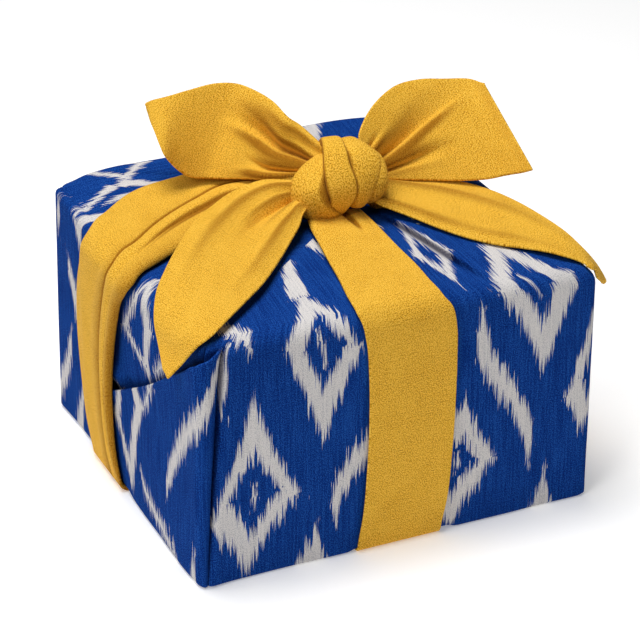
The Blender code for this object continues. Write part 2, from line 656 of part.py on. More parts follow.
def main():
    for obj in list(bpy.data.objects):
        bpy.data.objects.remove(obj, do_unlink=True)
    blue = make_material("patterned_cotton", BLUE_COTTON)
    yellow = make_material("sash_cotton", YELLOW_COTTON)
    make_wrap(blue)
    make_knot("knot", yellow)
    cutter = make_knot("knot_clearance", yellow, KNOT_CLEARANCE)
    cutter.hide_render = True
    cutter.display_type = "WIRE"
    plain = np.linspace(-1.0, 1.0, 6)
    pleated = column(PLEAT, "across")
    for name, steps, run in zip(("sash_front_back", "sash_left_right"), (plain, pleated), strip_runs()):
        grid = strip_grid(*run, steps)
        make_sheet(name, grid, SASH_THICKNESS, yellow, cutter)
    tails = {
        "tail_upper_left": (TAIL_UPPER_LEFT, FOLDS_UPPER_LEFT),
        "tail_upper_right": (TAIL_UPPER_RIGHT, FOLDS_UPPER_RIGHT),
        "tail_lower_left": (TAIL_LOWER_LEFT, FOLDS_LOWER_LEFT),
        "tail_right": (TAIL_RIGHT, FOLDS_RIGHT),
    }
    for name, (rows, folds) in tails.items():
        make_sheet(name, tail_grid(rows, folds), TAIL_THICKNESS, yellow, cutter)


main()
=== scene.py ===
import math
from collections import namedtuple

import bpy
import numpy as np
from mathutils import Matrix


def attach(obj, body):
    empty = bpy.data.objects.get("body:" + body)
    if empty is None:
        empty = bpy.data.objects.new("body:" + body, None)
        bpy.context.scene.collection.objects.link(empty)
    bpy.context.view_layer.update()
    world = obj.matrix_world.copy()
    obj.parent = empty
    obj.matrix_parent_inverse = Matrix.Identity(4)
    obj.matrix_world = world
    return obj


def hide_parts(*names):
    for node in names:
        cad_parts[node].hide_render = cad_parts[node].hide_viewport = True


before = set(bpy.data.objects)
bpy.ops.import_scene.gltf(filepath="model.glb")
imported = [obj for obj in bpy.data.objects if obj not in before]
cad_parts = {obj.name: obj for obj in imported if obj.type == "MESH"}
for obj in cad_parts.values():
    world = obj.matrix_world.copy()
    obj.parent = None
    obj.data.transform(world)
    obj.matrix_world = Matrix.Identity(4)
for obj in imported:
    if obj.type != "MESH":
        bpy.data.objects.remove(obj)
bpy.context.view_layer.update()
print("frame loaded with", len(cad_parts), "nodes")

# tables of shapes and of the pattern are in millimetres, and a mesh is scaled once, as it is made;
# flat sizes, grains, bumps, the camera and the lights are in metres
mm = 0.001


# eases from 0 to 1: 3 x squared less 2 x cubed, of x held between 0 and 1
def smoothStep(x):
    x = np.clip(x, 0.0, 1.0)
    return x * x * (3.0 - 2.0 * x)


# smoothStep of x's share of the way from start to end
def ramp(x, start, end):
    return smoothStep((x - start) / (end - start))


# a bell of height 1: e to the power of minus (x over width) squared
def bell(x, width):
    return np.exp(-(x / width) ** 2)


# one named column of a table's rows
def column(rows, name):
    return np.array([getattr(row, name) for row in rows], float)


# cubic through a table's rows, each row's slope taken from the rows beside it
def smoothAt(keys, values, places):
    slopes = np.gradient(values, keys, axis=0)
    i = np.clip(np.searchsorted(keys, places) - 1, 0, len(keys) - 2)
    span = keys[i + 1] - keys[i]
    t = np.clip((places - keys[i]) / span, 0.0, 1.0)
    if values.ndim > 1:
        t, span = t[..., None], span[..., None]
    start, end = values[i], values[i + 1]
    startSlope, endSlope = slopes[i] * span, slopes[i + 1] * span
    bend = 3.0 * (end - start) - 2.0 * startSlope - endSlope
    twist = 2.0 * (start - end) + startSlope + endSlope
    return start + t * (startSlope + t * (bend + t * twist))


# a table's column at places along its key, by the cubic above
def rowsAt(rows, key, places, name):
    return smoothAt(column(rows, key), column(rows, name), places)


# unit vectors along the last axis
def unit(v):
    return v / np.maximum(np.linalg.norm(v, axis=-1, keepdims=True), 1e-9)


# corner numbers of the quads of a grid, wrapped round where it is closed
def quadsOf(rowCount, columnCount, closed=False, first=0):
    r = np.arange(rowCount - 1)[:, None] * columnCount
    c = np.arange(columnCount if closed else columnCount - 1)[None, :]
    nextC = (c + 1) % columnCount
    quads = np.stack((r + c, r + nextC, r + columnCount + nextC, r + columnCount + c), -1)
    return quads.reshape(-1, 4) + first


# direction across a grid's surface: its two runs crossed
def gridNormals(grid):
    return unit(np.cross(np.gradient(grid, axis=1), np.gradient(grid, axis=0)))


# a mesh from points in millimetres and lists of corner numbers, with its cloth coordinates at each
# face corner, as a piece on the root that stands for the named nodes
def makePiece(name, points, faces, uv, material, nodeNames):
    mesh = bpy.data.meshes.new(name)
    mesh.from_pydata((points * mm).tolist(), [], faces)
    layer = mesh.uv_layers.new(name="cloth")
    layer.data.foreach_set("uv", (uv * mm).astype(np.float32).ravel())
    mesh.materials.append(material)
    mesh.shade_smooth()
    mesh.update()
    piece = bpy.data.objects.new(name, mesh)
    bpy.context.scene.collection.objects.link(piece)
    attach(piece, "root")
    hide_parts(*nodeNames)
    return piece


rimShare = 0.9  # how far a sheet's rim stands out, in half thicknesses


# a sheet with thickness: the grid set off half the thickness to both sides along its normals,
# and a rim loop beyond the border, so that the edge is rounded
def thickSheet(grid, thickness, flip=False):
    rows, cols = grid.shape[:2]
    normals = gridNormals(grid) * (-1.0 if flip else 1.0)
    half = 0.5 * np.broadcast_to(thickness, (rows, cols))[..., None]
    outer = grid + normals * half
    inner = grid - normals * half
    r = np.arange(rows)
    c = np.arange(cols)
    borderR = np.concatenate((np.zeros(cols - 1, int), r[:-1], np.full(cols - 1, rows - 1), r[:0:-1]))
    borderC = np.concatenate((c[:-1], np.full(rows - 1, cols - 1), c[:0:-1], np.zeros(rows - 1, int)))
    inwardR = np.clip(borderR, 1, rows - 2)
    inwardC = np.clip(borderC, 1, cols - 2)
    away = unit(grid[borderR, borderC] - grid[inwardR, inwardC])
    rim = grid[borderR, borderC] + away * half[borderR, borderC] * rimShare
    points = np.concatenate((outer.reshape(-1, 3), inner.reshape(-1, 3), rim))
    count = rows * cols
    border = borderR * cols + borderC
    nextBorder = np.roll(border, -1)
    rimIndex = 2 * count + np.arange(len(border))
    nextRim = np.roll(rimIndex, -1)
    outerQuads = quadsOf(rows, cols)
    innerQuads = quadsOf(rows, cols, first=count)[:, ::-1]
    outerRim = np.stack((border, rimIndex, nextRim, nextBorder), -1)
    innerRim = np.stack((rimIndex, border + count, nextBorder + count, nextRim), -1)
    faces = np.concatenate((outerQuads, innerQuads, outerRim, innerRim))
    if flip:
        faces = faces[:, ::-1]
    return points, faces, np.concatenate((np.arange(count), np.arange(count), border))


# how deep each grid point lies in a dip of the cloth, 0 to 1, used as painted shade: its distance below
# the mean of the points a reach to either side, over full
def hollowShadeOf(grid, facing, reach, full):
    spacing = np.linalg.norm(np.diff(grid, axis=1), axis=-1).mean()
    steps = max(int(reach / spacing), 1)
    padded = np.pad(grid, ((0, 0), (steps, steps), (0, 0)), "reflect", reflect_type="odd")
    sums = np.cumsum(np.concatenate((np.zeros((len(grid), 1, 3)), padded), 1), 1)
    mean = (sums[:, 2 * steps + 1:] - sums[:, :-2 * steps - 1]) / (2 * steps + 1)
    return smoothStep(((mean - grid) * facing).sum(-1) / full)


# how shut in each grid point is, 0 to 1, used as painted shade: how steeply the cloth within reach
# across rises above it; columns nearer than least, in mm, are taken to be that far away
def shutInShadeOf(grid, facing, reach, low, high, steps=15, least=0.2):
    count = grid.shape[1]
    columns = np.arange(count)
    steepest = np.zeros(grid.shape[:2])
    for step in range(1, steps + 1):
        for side in (-step, step):
            apart = grid[:, np.clip(columns + side, 0, count - 1)] - grid
            above = (apart * facing).sum(-1)
            away = np.sqrt(np.maximum((apart ** 2).sum(-1) - above ** 2, least ** 2))
            steepest = np.maximum(steepest, np.where(away < reach, above / away, 0.0))
    return smoothStep((steepest - low) / (high - low))


# painted shade in creases and hollows, 0 to 1, kept at each point for the cloth finishes to read
def keepPaintedShade(piece, values):
    attribute = piece.data.attributes.new("hollow", "FLOAT", "POINT")
    attribute.data.foreach_set("value", values.astype(np.float32))


# cloth coordinates of a grid: its mean length along, and its own width across from the middle
def gridCloth(grid):
    alongSteps = np.linalg.norm(np.diff(grid, axis=0), axis=-1).mean(1)
    along = np.concatenate(([0.0], np.cumsum(alongSteps)))
    acrossSteps = np.linalg.norm(np.diff(grid, axis=1), axis=-1)
    across = np.concatenate((np.zeros((len(grid), 1)), np.cumsum(acrossSteps, 1)), 1)
    across = across - 0.5 * across[:, -1:]
    return np.stack((across, np.broadcast_to(along[:, None], across.shape)), -1)


# adds a node and sets its inputs by name
def addNode(tree, kind, **inputs):
    node = tree.nodes.new(kind)
    for key, value in inputs.items():
        node.inputs[key].default_value = value
    return node


# sets a socket to a number or a colour, or links another node's output to it
def feed(tree, socket, value):
    if isinstance(value, (int, float)):
        socket.default_value = value
    elif isinstance(value, tuple):
        socket.default_value = (*value, 1.0)
    elif value is not None:
        tree.links.new(value, socket)


# one operation on up to three values
def mathNode(tree, operation, a, b=None, c=None):
    node = tree.nodes.new("ShaderNodeMath")
    node.operation = operation
    for socket, value in zip(node.inputs, (a, b, c)):
        feed(tree, socket, value)
    return node.outputs[0]


# start plus each value times its weight
def weighted(tree, parts, start=0.0):
    total = start
    for value, weight in parts:
        total = mathNode(tree, "MULTIPLY_ADD", value, weight, total)
    return total


# noise of 0 to 1 moved down by a half, so that it runs to both sides of zero, times size
def aboutZero(tree, noise, size):
    return mathNode(tree, "MULTIPLY", mathNode(tree, "SUBTRACT", noise, 0.5), size)


# a value kept on the mesh
def meshValue(tree, name):
    node = tree.nodes.new("ShaderNodeAttribute")
    node.attribute_name = name
    return node.outputs["Fac"]


# a noise's scale across and along the cloth, per metre, its detail, and where in the noise it starts
Grain = namedtuple("Grain", "across along detail start", defaults=(2.0, 0.0))


# noise over the cloth's own coordinates, stretched by its two scales
def clothNoise(tree, cloth, grain):
    place = tree.nodes.new("ShaderNodeMapping")
    place.inputs["Scale"].default_value = (grain.across, grain.along, 1.0)
    place.inputs["Location"].default_value = (grain.start, grain.start * 0.7, 0.0)
    tree.links.new(cloth, place.inputs["Vector"])
    noise = addNode(tree, "ShaderNodeTexNoise", Scale=1.0, Detail=grain.detail)
    noise.noise_dimensions = "2D"
    tree.links.new(place.outputs["Vector"], noise.inputs["Vector"])
    return noise.outputs[0]


# a value eased from 0 to 1 as it runs from low to high
def spread(tree, value, low, high):
    node = tree.nodes.new("ShaderNodeMapRange")
    node.interpolation_type = "SMOOTHSTEP"
    node.inputs["From Min"].default_value = low
    node.inputs["From Max"].default_value = high
    tree.links.new(value, node.inputs["Value"])
    return node.outputs[0]


# colour a turned into colour b by factor, as a mix or as a multiplication
def mixColour(tree, factor, a, b, kind="MIX"):
    node = tree.nodes.new("ShaderNodeMix")
    node.data_type = "RGBA"
    node.blend_type = kind
    factorSocket = [socket for socket in node.inputs if socket.name == "Factor" and socket.type == "VALUE"][0]
    colourSockets = [socket for socket in node.inputs if socket.type == "RGBA"]
    for socket, value in zip((factorSocket, *colourSockets), (factor, a, b)):
        feed(tree, socket, value)
    return [socket for socket in node.outputs if socket.type == "RGBA"][0]


# a new material, its node tree and shader, and the cloth coordinates that its patterns read
def startCloth(name):
    material = bpy.data.materials.new(name)
    material.use_nodes = True
    tree = material.node_tree
    uv = tree.nodes.new("ShaderNodeUVMap")
    uv.uv_map = "cloth"
    return material, tree, tree.nodes["Principled BSDF"], uv.outputs["UV"]


# plain weave height: over and under threads are a product of two sine runs
def weaveHeight(tree, cloth, pitch):
    split = tree.nodes.new("ShaderNodeSeparateXYZ")
    tree.links.new(cloth, split.inputs[0])
    wave = math.pi / (pitch * mm)
    warp = mathNode(tree, "SINE", mathNode(tree, "MULTIPLY", split.outputs[0], wave))
    weft = mathNode(tree, "SINE", mathNode(tree, "MULTIPLY", split.outputs[1], wave))
    return mathNode(tree, "MULTIPLY_ADD", mathNode(tree, "MULTIPLY", warp, weft), 0.5, 0.5)


# the last steps of both cloths: painted shade, a dark tint multiplied into the colour as far as the mesh's
# shade value says, the grain as fine bumps, a dull surface
def finishCloth(tree, shader, colour, height, recipe):
    shaded = mixColour(tree, 1.0, colour, recipe["paintedShadeTint"], "MULTIPLY")
    colour = mixColour(tree, meshValue(tree, "hollow"), colour, shaded)
    tree.links.new(colour, shader.inputs["Base Color"])
    bump = addNode(tree, "ShaderNodeBump", Strength=recipe["bumpStrength"], Distance=recipe["bump"])
    tree.links.new(height, bump.inputs["Height"])
    tree.links.new(bump.outputs["Normal"], shader.inputs["Normal"])
    shader.inputs["Roughness"].default_value = recipe["roughness"]
    shader.inputs["Specular IOR Level"].default_value = recipe["shine"]


# in a recipe, a span is the part of a tone's range over which one colour turns into the next, and
# a weight is a noise's share of the tone
# the mustard's shade tint is the dark colour multiplied in as painted shade in creases and hollows
mustard = dict(light=(0.95, 0.58, 0.078), base=(0.76, 0.382, 0.0175), dark=(0.34, 0.130, 0.003),
               paintedShadeTint=(0.46, 0.34, 0.15), baseSpan=(0.20, 0.68), lightSpan=(0.60, 1.10),
               speckle=Grain(2480.0, 1537.6), warpSlub=Grain(1400.0, 110.0, 2.0, 3.1),
               weftSlub=Grain(110.0, 1400.0, 2.0, 7.7), broad=Grain(60.0, 60.0, 3.0, 1.3), pitch=0.6,
               speckleSpan=(0.34, 0.66), speckleWeight=0.74, slubWeight=0.24, broadWeight=0.22,
               weaveWeight=0.10, speckleBump=0.6, slubBump=0.5, bumpStrength=0.55, bump=0.00028,
               roughness=0.85, shine=0.12, sheen=0.05, sheenRoughness=0.45, sheenTint=(1.0, 0.80, 0.45))


# plain sash cotton: speckle, slubs both ways, broad cloudiness and the weave, summed into one tone
def makeMustardCotton():
    material, tree, shader, cloth = startCloth("sashCotton")
    speckle = clothNoise(tree, cloth, mustard["speckle"])
    warpSlub = clothNoise(tree, cloth, mustard["warpSlub"])
    weftSlub = clothNoise(tree, cloth, mustard["weftSlub"])
    broad = clothNoise(tree, cloth, mustard["broad"])
    weave = weaveHeight(tree, cloth, mustard["pitch"])
    tone = weighted(tree, [(spread(tree, speckle, *mustard["speckleSpan"]), mustard["speckleWeight"]),
                           (warpSlub, mustard["slubWeight"]), (weftSlub, mustard["slubWeight"]),
                           (broad, mustard["broadWeight"]), (weave, mustard["weaveWeight"])])
    colour = mixColour(tree, spread(tree, tone, *mustard["baseSpan"]), mustard["dark"], mustard["base"])
    colour = mixColour(tree, spread(tree, tone, *mustard["lightSpan"]), colour, mustard["light"])
    height = weighted(tree, [(speckle, mustard["speckleBump"]), (warpSlub, mustard["slubBump"])], weave)
    finishCloth(tree, shader, colour, height, mustard)
    shader.inputs["Sheen Weight"].default_value = mustard["sheen"]
    shader.inputs["Sheen Roughness"].default_value = mustard["sheenRoughness"]
    shader.inputs["Sheen Tint"].default_value = (*mustard["sheenTint"], 1.0)
    return material


# the ikat's shade tint is the dark colour multiplied in as painted shade in creases, folds and the pocket
ikat = dict(blue=(0.0040, 0.038, 0.230), lightBlue=(0.018, 0.098, 0.400), darkBlue=(0.0022, 0.014, 0.110),
            white=(0.72, 0.69, 0.67), greyWhite=(0.46, 0.45, 0.47), paintedShadeTint=(0.13, 0.13, 0.17),
            blueSpan=(0.15, 0.60), lightBlueSpan=(0.58, 1.05), whiteSpan=(0.15, 0.75),
            threads=Grain(700.0, 20.0, 1.0), fineThreads=Grain(2400.0, 45.0, 1.0, 5.3),
            splits=Grain(1100.0, 60.0, 1.0, 8.8), longFeather=8.0, shortFeather=10.0, split=3.6, edge=0.6,
            speckle=Grain(2100.0, 1700.0, 2.0, 2.1), warpStreak=Grain(1100.0, 40.0, 2.0, 9.4),
            weftStreak=Grain(60.0, 1300.0, 2.0, 4.4), broad=Grain(45.0, 45.0, 2.0, 6.6), pitch=0.6,
            speckleSpan=(0.32, 0.68), speckleWeight=0.62, streakSpan=(0.25, 0.75), streakWeight=0.26,
            weftWeight=0.16, broadWeight=0.16, speckleBump=0.6, streakBump=0.5, bumpStrength=0.5,
            bump=0.0003, roughness=0.95, shine=0.02)


# ikat: the motif's depth in white (mm) shifted along the warp by each thread's own noise, over a
# tone of speckle, streaks both ways and broad cloudiness
def makeIkatCotton():
    material, tree, shader, cloth = startCloth("wrapCotton")
    depth, slope = meshValue(tree, "motifDepth"), meshValue(tree, "motifSlope")
    threads = clothNoise(tree, cloth, ikat["threads"])
    fineThreads = clothNoise(tree, cloth, ikat["fineThreads"])
    shift = mathNode(tree, "ADD", aboutZero(tree, threads, 2.0 * ikat["longFeather"]),
                     aboutZero(tree, fineThreads, 2.0 * ikat["shortFeather"]))
    inWhite = mathNode(tree, "MULTIPLY_ADD", slope, shift, depth)
    splits = mathNode(tree, "SUBTRACT", clothNoise(tree, cloth, ikat["splits"]), 0.5)
    inWhite = weighted(tree, [(splits, ikat["split"])], inWhite)
    white = spread(tree, inWhite, -ikat["edge"], ikat["edge"])
    speckle = clothNoise(tree, cloth, ikat["speckle"])
    warpStreak = clothNoise(tree, cloth, ikat["warpStreak"])
    weftStreak = clothNoise(tree, cloth, ikat["weftStreak"])
    broad = clothNoise(tree, cloth, ikat["broad"])
    weave = weaveHeight(tree, cloth, ikat["pitch"])
    tone = weighted(tree, [(spread(tree, speckle, *ikat["speckleSpan"]), ikat["speckleWeight"]),
                           (spread(tree, warpStreak, *ikat["streakSpan"]), ikat["streakWeight"]),
                           (weftStreak, ikat["weftWeight"]), (broad, ikat["broadWeight"])])
    blue = mixColour(tree, spread(tree, tone, *ikat["blueSpan"]), ikat["darkBlue"], ikat["blue"])
    blue = mixColour(tree, spread(tree, tone, *ikat["lightBlueSpan"]), blue, ikat["lightBlue"])
    undyed = mixColour(tree, spread(tree, tone, *ikat["whiteSpan"]), ikat["greyWhite"], ikat["white"])
    height = weighted(tree, [(speckle, ikat["speckleBump"]), (warpStreak, ikat["streakBump"])], weave)
    finishCloth(tree, shader, mixColour(tree, white, blue, undyed), height, ikat)
    return material


sashCotton = makeMustardCotton()
wrapCotton = makeIkatCotton()
print("cloth finishes made")


# ikat motifs are charted in cloth millimetres, s across the warp and t up it
# a ring: the corners of its outer and inner rhombus, and how far its outer sides bow in
Ring = namedtuple("Ring", "top right bottom left innerTop innerRight innerBottom innerLeft bow")
# a solid rhombus or triangle
Solid = namedtuple("Solid", "top right bottom left bow")
# a trail: points of its middle line, each with the width there
Trail = namedtuple("Trail", "points")


stroke = dict(points=9, sway=5.0, fullness=0.6, leastWidth=0.5)


# a slanting stroke between two ends: it sways as one full sine run, and its width is a half sine,
# to a power that keeps it full near its ends
def slantStroke(s0, t0, s1, t1, width):
    share = np.linspace(0.0, 1.0, stroke["points"])
    sway = -math.copysign(stroke["sway"], s1 - s0) * np.sin(2.0 * np.pi * share)
    widths = np.maximum(width * np.sin(np.pi * share) ** stroke["fullness"], stroke["leastWidth"])
    places = np.column_stack((s0 + (s1 - s0) * share + sway, t0 + (t1 - t0) * share, widths))
    return Trail([tuple(place) for place in places])


frontMotifs = [
    Ring((-75, 96), (-53, 40), (-80, 4), (-98, 33), (-75, 67), (-62, 44), (-77.5, 23), (-88, 43), 2.0),
    Trail([(-75, 48, 1), (-75, 43, 2.6), (-75.5, 37, 1)]),
    Ring((-45, 153), (-22, 109), (-41, 64), (-58.5, 114),
         (-43, 132), (-28.5, 111), (-40.5, 91), (-50, 112), 0.5),
    Trail([(-37, 195, 3), (-38.5, 181, 6), (-42, 166, 8), (-45, 150, 10)]),
    Trail([(-43.5, 120, 0.5), (-40.5, 114, 2.6), (-39.5, 104, 1)]),
    slantStroke(-4, 88, -35, 22, 8.5),
    Solid((-43.5, 22), (-36, -6), (-46, -20), (-60, -4), 2.0),
    Ring((31, 69), (48, 35), (25, 1), (9, 36), (31, 50), (38.5, 37), (25, 20), (17, 36), 1.0),
    Trail([(28.5, 41, 1), (28.5, 36, 2.6), (28, 32, 1)]),
    slantStroke(40, 113, 66, 27, 8.5),
    Ring((73, 177), (91.5, 122), (73, 75), (50, 121), (71.5, 148), (79.5, 121), (71.5, 100), (60, 120), 1.5),
    Trail([(67.2, 127.5, 0.8), (68.4, 122, 2.2), (69.2, 116, 0.8)]),
    Ring((101, 108), (117, 60), (94.5, 39), (85, 58), (100, 86), (108, 64), (97.5, 54), (94, 66), 1.0),
    Solid((76.5, 20), (84, -4), (75, -20), (63, -4), 2.0),
    Trail([(22, 209, 8), (25, 199, 5)]),
    Ring((37, 197), (47, 160), (36, 131), (28, 162), (37, 181), (41, 161), (36, 146), (33, 162), 1.0),
    Trail([(-21, 206, 6), (-17.5, 194, 7.5), (-14, 182, 6)]),
    Trail([(-100, 143, 6), (-87, 131, 7), (-77, 119, 2)]),
    Trail([(-87.6, 122, 1.0), (-88.8, 107, 2.4), (-90.0, 90, 0.8)]),
]

# left face above the flap, and the top behind it; s is -y there
panelMotifs = [
    Ring((28, 134), (41, 106), (35, 76), (4, 94), (26, 120), (32, 105), (31, 86), (11, 95), 2.0),
    Trail([(13, 101, 0.5), (15, 95, 2.4), (17, 90, 0.5)]),
    Trail([(40.5, 84, 1), (46.5, 90, 3), (55.5, 98, 4)]),
    Trail([(-14, 58, 1), (-3, 50, 3)]),
    Trail([(-74, 94, 1), (-71, 86.5, 7), (-67, 79, 8), (-65, 67, 1)]),
    Trail([(-73.5, 53, 1), (-77.5, 38, 5.5), (-86.5, 22.5, 8), (-98, 8, 7.5)]),
    Trail([(-59.5, 23, 2), (-65, 12, 6.5), (-67.5, 4, 9), (-65, -3, 7)]),
    Trail([(-88.5, 118, 1), (-89, 110, 5), (-88.5, 101, 1.5)]),
    Ring((-108, 173), (-92, 157), (-108, 137), (-124, 157),
         (-108, 166), (-99, 157), (-108, 145), (-117, 157), 1.0),
    Ring((-76, 188), (-46, 146), (-54, 104), (-95, 154), (-76, 176), (-58, 146), (-60, 118), (-86, 154), 2.0),
    Trail([(-75, 158, 1), (-71, 146, 4), (-66, 134, 1)]),
]

# flap over the lower left face; s is -y there, and runs on past the corner over the front
flapMotifs = [
    slantStroke(107, 118, 59, 28, 8.5),
    Ring((16, 98), (31, 62), (11, 5), (-9, 40), (13, 84), (21, 60), (7, 24), (-1, 41), 1.5),
    Trail([(46, 83, 3.5), (38, 72, 3.5), (31, 61, 1)]),
    slantStroke(24, 24, 68, -4, 5.5),
    Trail([(65, 8, 2), (69.5, 0, 4)]),
    Trail([(90, 15, 1.5), (89, 7, 4.0), (88.5, 0, 4.5)]),
]

# the plain repeat of the sides that face away
hiddenRepeat = dict(width=106.0, height=140.0)
hiddenMotifs = [
    Ring((0, 92), (22, 40), (0, -2), (-23, 38), (0, 64), (12, 41), (0, 20), (-12, 40), 1.5),
    Trail([(0, 46, 1), (0, 41, 2.6), (0, 36, 1)]),
    Ring((53, 160), (72, 112), (53, 64), (34, 110), (53, 132), (62, 111), (53, 90), (43, 110), 1.5),
    Trail([(53, 116, 1), (53, 111, 2.6), (53, 106, 1)]),
    Trail([(20, 106, 1), (22, 92, 7), (30, 66, 9), (38, 42, 6), (40, 28, 1)]),
    Trail([(86, 74, 1), (83, 62, 7), (76, 42, 8), (72, 26, 1)]),
]


# depths, in mm, that stand for well away from every motif and for deeper than any motif
outside, deepInside = -30.0, 1000.0


# depth inside a clockwise rhombus: the least distance in from its sides, each bowed in by bow
def quadDepth(corners, bow, s, t):
    depth = np.full(np.shape(s), deepInside)
    for (s0, t0), (s1, t1) in zip(corners, corners[1:] + corners[:1]):
        runS, runT = s1 - s0, t1 - t0
        length = math.hypot(runS, runT)
        share = np.clip(((s - s0) * runS + (t - t0) * runT) / length ** 2, 0.0, 1.0)
        inward = ((s - s0) * runT - (t - t0) * runS) / length
        depth = np.minimum(depth, inward - bow * 4.0 * share * (1.0 - share))
    return depth


# depth inside a trail: half its width there less the distance from its middle line
def trailDepth(trail, s, t):
    depth = np.full(np.shape(s), outside)
    for (s0, t0, w0), (s1, t1, w1) in zip(trail.points, trail.points[1:]):
        runS, runT = s1 - s0, t1 - t0
        share = np.clip(((s - s0) * runS + (t - t0) * runT) / (runS ** 2 + runT ** 2), 0.0, 1.0)
        away = np.hypot(s - s0 - share * runS, t - t0 - share * runT)
        depth = np.maximum(depth, 0.5 * (w0 + (w1 - w0) * share) - away)
    return depth


# the greatest depth in any of the motifs; a ring's is the lesser of inside its outer rhombus and
# outside its inner one
def motifDepth(motifs, s, t):
    depth = np.full(np.shape(s), outside)
    for motif in motifs:
        if isinstance(motif, Trail):
            here = trailDepth(motif, s, t)
        elif isinstance(motif, Solid):
            here = quadDepth(list(motif[:4]), motif.bow, s, t)
        else:
            hole = quadDepth(list(motif[4:8]), 0.0, s, t)
            here = np.minimum(quadDepth(list(motif[:4]), motif.bow, s, t), -hole)
        depth = np.maximum(depth, here)
    return depth


# depth in the plain repeat: places are wrapped into one tile, and its neighbours' motifs reach in
def hiddenDepth(s, t):
    width, height = hiddenRepeat["width"], hiddenRepeat["height"]
    depth = np.full(np.shape(s), outside)
    for stepS in (-width, 0.0, width):
        for stepT in (-height, 0.0, height):
            wrappedS = np.mod(s, width) + stepS
            wrappedT = np.mod(t, height) + stepT
            depth = np.maximum(depth, motifDepth(hiddenMotifs, wrappedS, wrappedT))
    return depth


# depth and its change along the warp, kept on the piece's face corners; a feather under 1 makes
# the threads' shift shorter
def chartIkat(piece, find, s, t, feather=1.0):
    step = 0.5  # mm to both sides
    depth = find(s, t)
    slope = feather * (find(s, t + step) - find(s, t - step)) / (2.0 * step)
    for name, values in (("motifDepth", depth), ("motifSlope", slope)):
        attribute = piece.data.attributes.new(name, "FLOAT", "CORNER")
        attribute.data.foreach_set("value", values.astype(np.float32).ravel())


# the filled wrap; midZ parts its foot's roundings from its top's. In pairs: from and to which y the
# back of the top rises, and the top's edge turns crisper; and over which z the back stands out
wrap = dict(riseY=(36.0, 94.0), crispY=(20.0, 86.0), outZ=(6.0, 111.0), waveEnds=0.12,
            halfX=100.0, halfY=96.5, top=123.0, bottom=1.8, midZ=60.0, cornerRadius=4.0, topRadius=8.0,
            backRadius=3.2, bottomRadius=1.8, crown=3.0, faceBulge=1.2, gatherX=14.0, gatherY=3.0,
            gatherShare=0.985, sag=1.55, spacing=1.9, rowSpacing=1.7, topRings=84,
            recessHalf=36.0, recessSlope=4.0, recessRise=1.8, recessX=2.0, recessY=-1.5)
# the flap over each side, and what the wrap does under it and at the crease beside it
flap = dict(foot=1.0, footAtStrip=2.9, thickness=1.2, stand=1.3, bodyUnder=0.3, lastY=37.0,
            recess=2.0, recessReach=10.0, recessAtCorner=4.0, reachAtCorner=3.0, cornerY=-96.0,
            cornerReach=34.0, farStand=0.5, lean=1.3, creaseTopX=-88.0, creaseFootX=-99.0,
            creaseTopZ=124.0, creaseDepth=3.2, creaseFade=7.0, ridge=0.9, frontEdgeZ=116.6,
            frontEdgeSlope=0.37, lip=1.1, lipReach=6.0, swell=1.6, swellY=-62.0, swellReach=24.0,
            swellTop=60.0, turnedIn=2.6, turnedRun=(1.0, 10.0), intoCrease=1.3, intoReach=1.6,
            coveredRun=(2.0, 5.0), farY=(24.0, 40.0), leanX=(60.0, 100.0), leanY=(50.0, 95.0),
            leanTop=70.0, leanRun=60.0, stepFrom=-0.5, stepRun=2.1, ridgeX=3.0, ridgeReach=4.5,
            footY=(-12.0, -2.0), rowCount=66, rowPower=1.15)

# the back edge is puffed by the cloth drawn over it: extra height of the top, and how far it stands
# out
BackRow = namedtuple("BackRow", "x rise out")
backPuff = [
    BackRow(-100.0, 0.2, 0.2),
    BackRow(-93.0, 1.5, 0.8),
    BackRow(-84.0, 3.7, 1.8),
    BackRow(-70.0, 5.0, 2.8),
    BackRow(-40.0, 5.4, 3.8),
    BackRow(0.0, 7.0, 5.4),
    BackRow(35.0, 9.4, 8.0),
    BackRow(70.0, 8.2, 8.4),
    BackRow(90.0, 5.0, 4.2),
    BackRow(100.0, 2.6, 1.4),
]

# a fold on top: where it runs from and to, how far it bends aside, its height, how slowly it dies away
# behind its lip, and how wide the lip is
TopFold = namedtuple("TopFold", "fromX fromY toX toY bend height width lip")
topFolds = [
    TopFold(30.0, -3.0, 48.0, -91.0, -1.5, 2.3, 26.0, 0.8),
    TopFold(-84.0, 91.0, -8.0, 58.0, 0.0, 1.8, 10.0, 1.5),
    TopFold(82.0, 84.0, 44.0, 30.0, 0.0, 2.6, 14.0, 3.0),
    TopFold(-82.0, -84.0, -20.0, -22.0, 0.0, 1.2, 14.0, 3.0),
]

# the flap's edge: its height along a side, and how strongly the wrap is pressed in over it
FlapRow = namedtuple("FlapRow", "y z strength")
flapEdge = [
    FlapRow(-96.5, 116.6, 1.0),
    FlapRow(-86.0, 109.0, 1.0),
    FlapRow(-74.0, 101.2, 1.0),
    FlapRow(-42.0, 80.0, 1.0),
    FlapRow(-15.0, 64.5, 1.0),
    FlapRow(7.0, 53.0, 1.0),
    FlapRow(30.0, 45.0, 1.0),
    FlapRow(50.0, 42.0, 0.0),
    FlapRow(96.5, 60.0, 0.0),
]


# over which shares of its run a fold swells at its start and dies away before its end
foldEnds = dict(start=(-0.1, 0.2), end=1.05, before=(0.0, 0.4))


# how far points lie to the left of a fold's run, and how high it is there for its ends, 0 to 1
def foldPlace(fold, x, y):
    runX, runY = fold.toX - fold.fromX, fold.toY - fold.fromY
    length = math.hypot(runX, runY)
    along = ((x - fold.fromX) * runX + (y - fold.fromY) * runY) / length ** 2
    inside = np.clip(along, 0.0, 1.0)
    aside = ((y - fold.fromY) * runX - (x - fold.fromX) * runY) / length
    aside = aside - fold.bend * 4.0 * inside * (1.0 - inside)
    return aside, ramp(along, *foldEnds["start"]) * ramp(foldEnds["end"] - along, *foldEnds["before"])
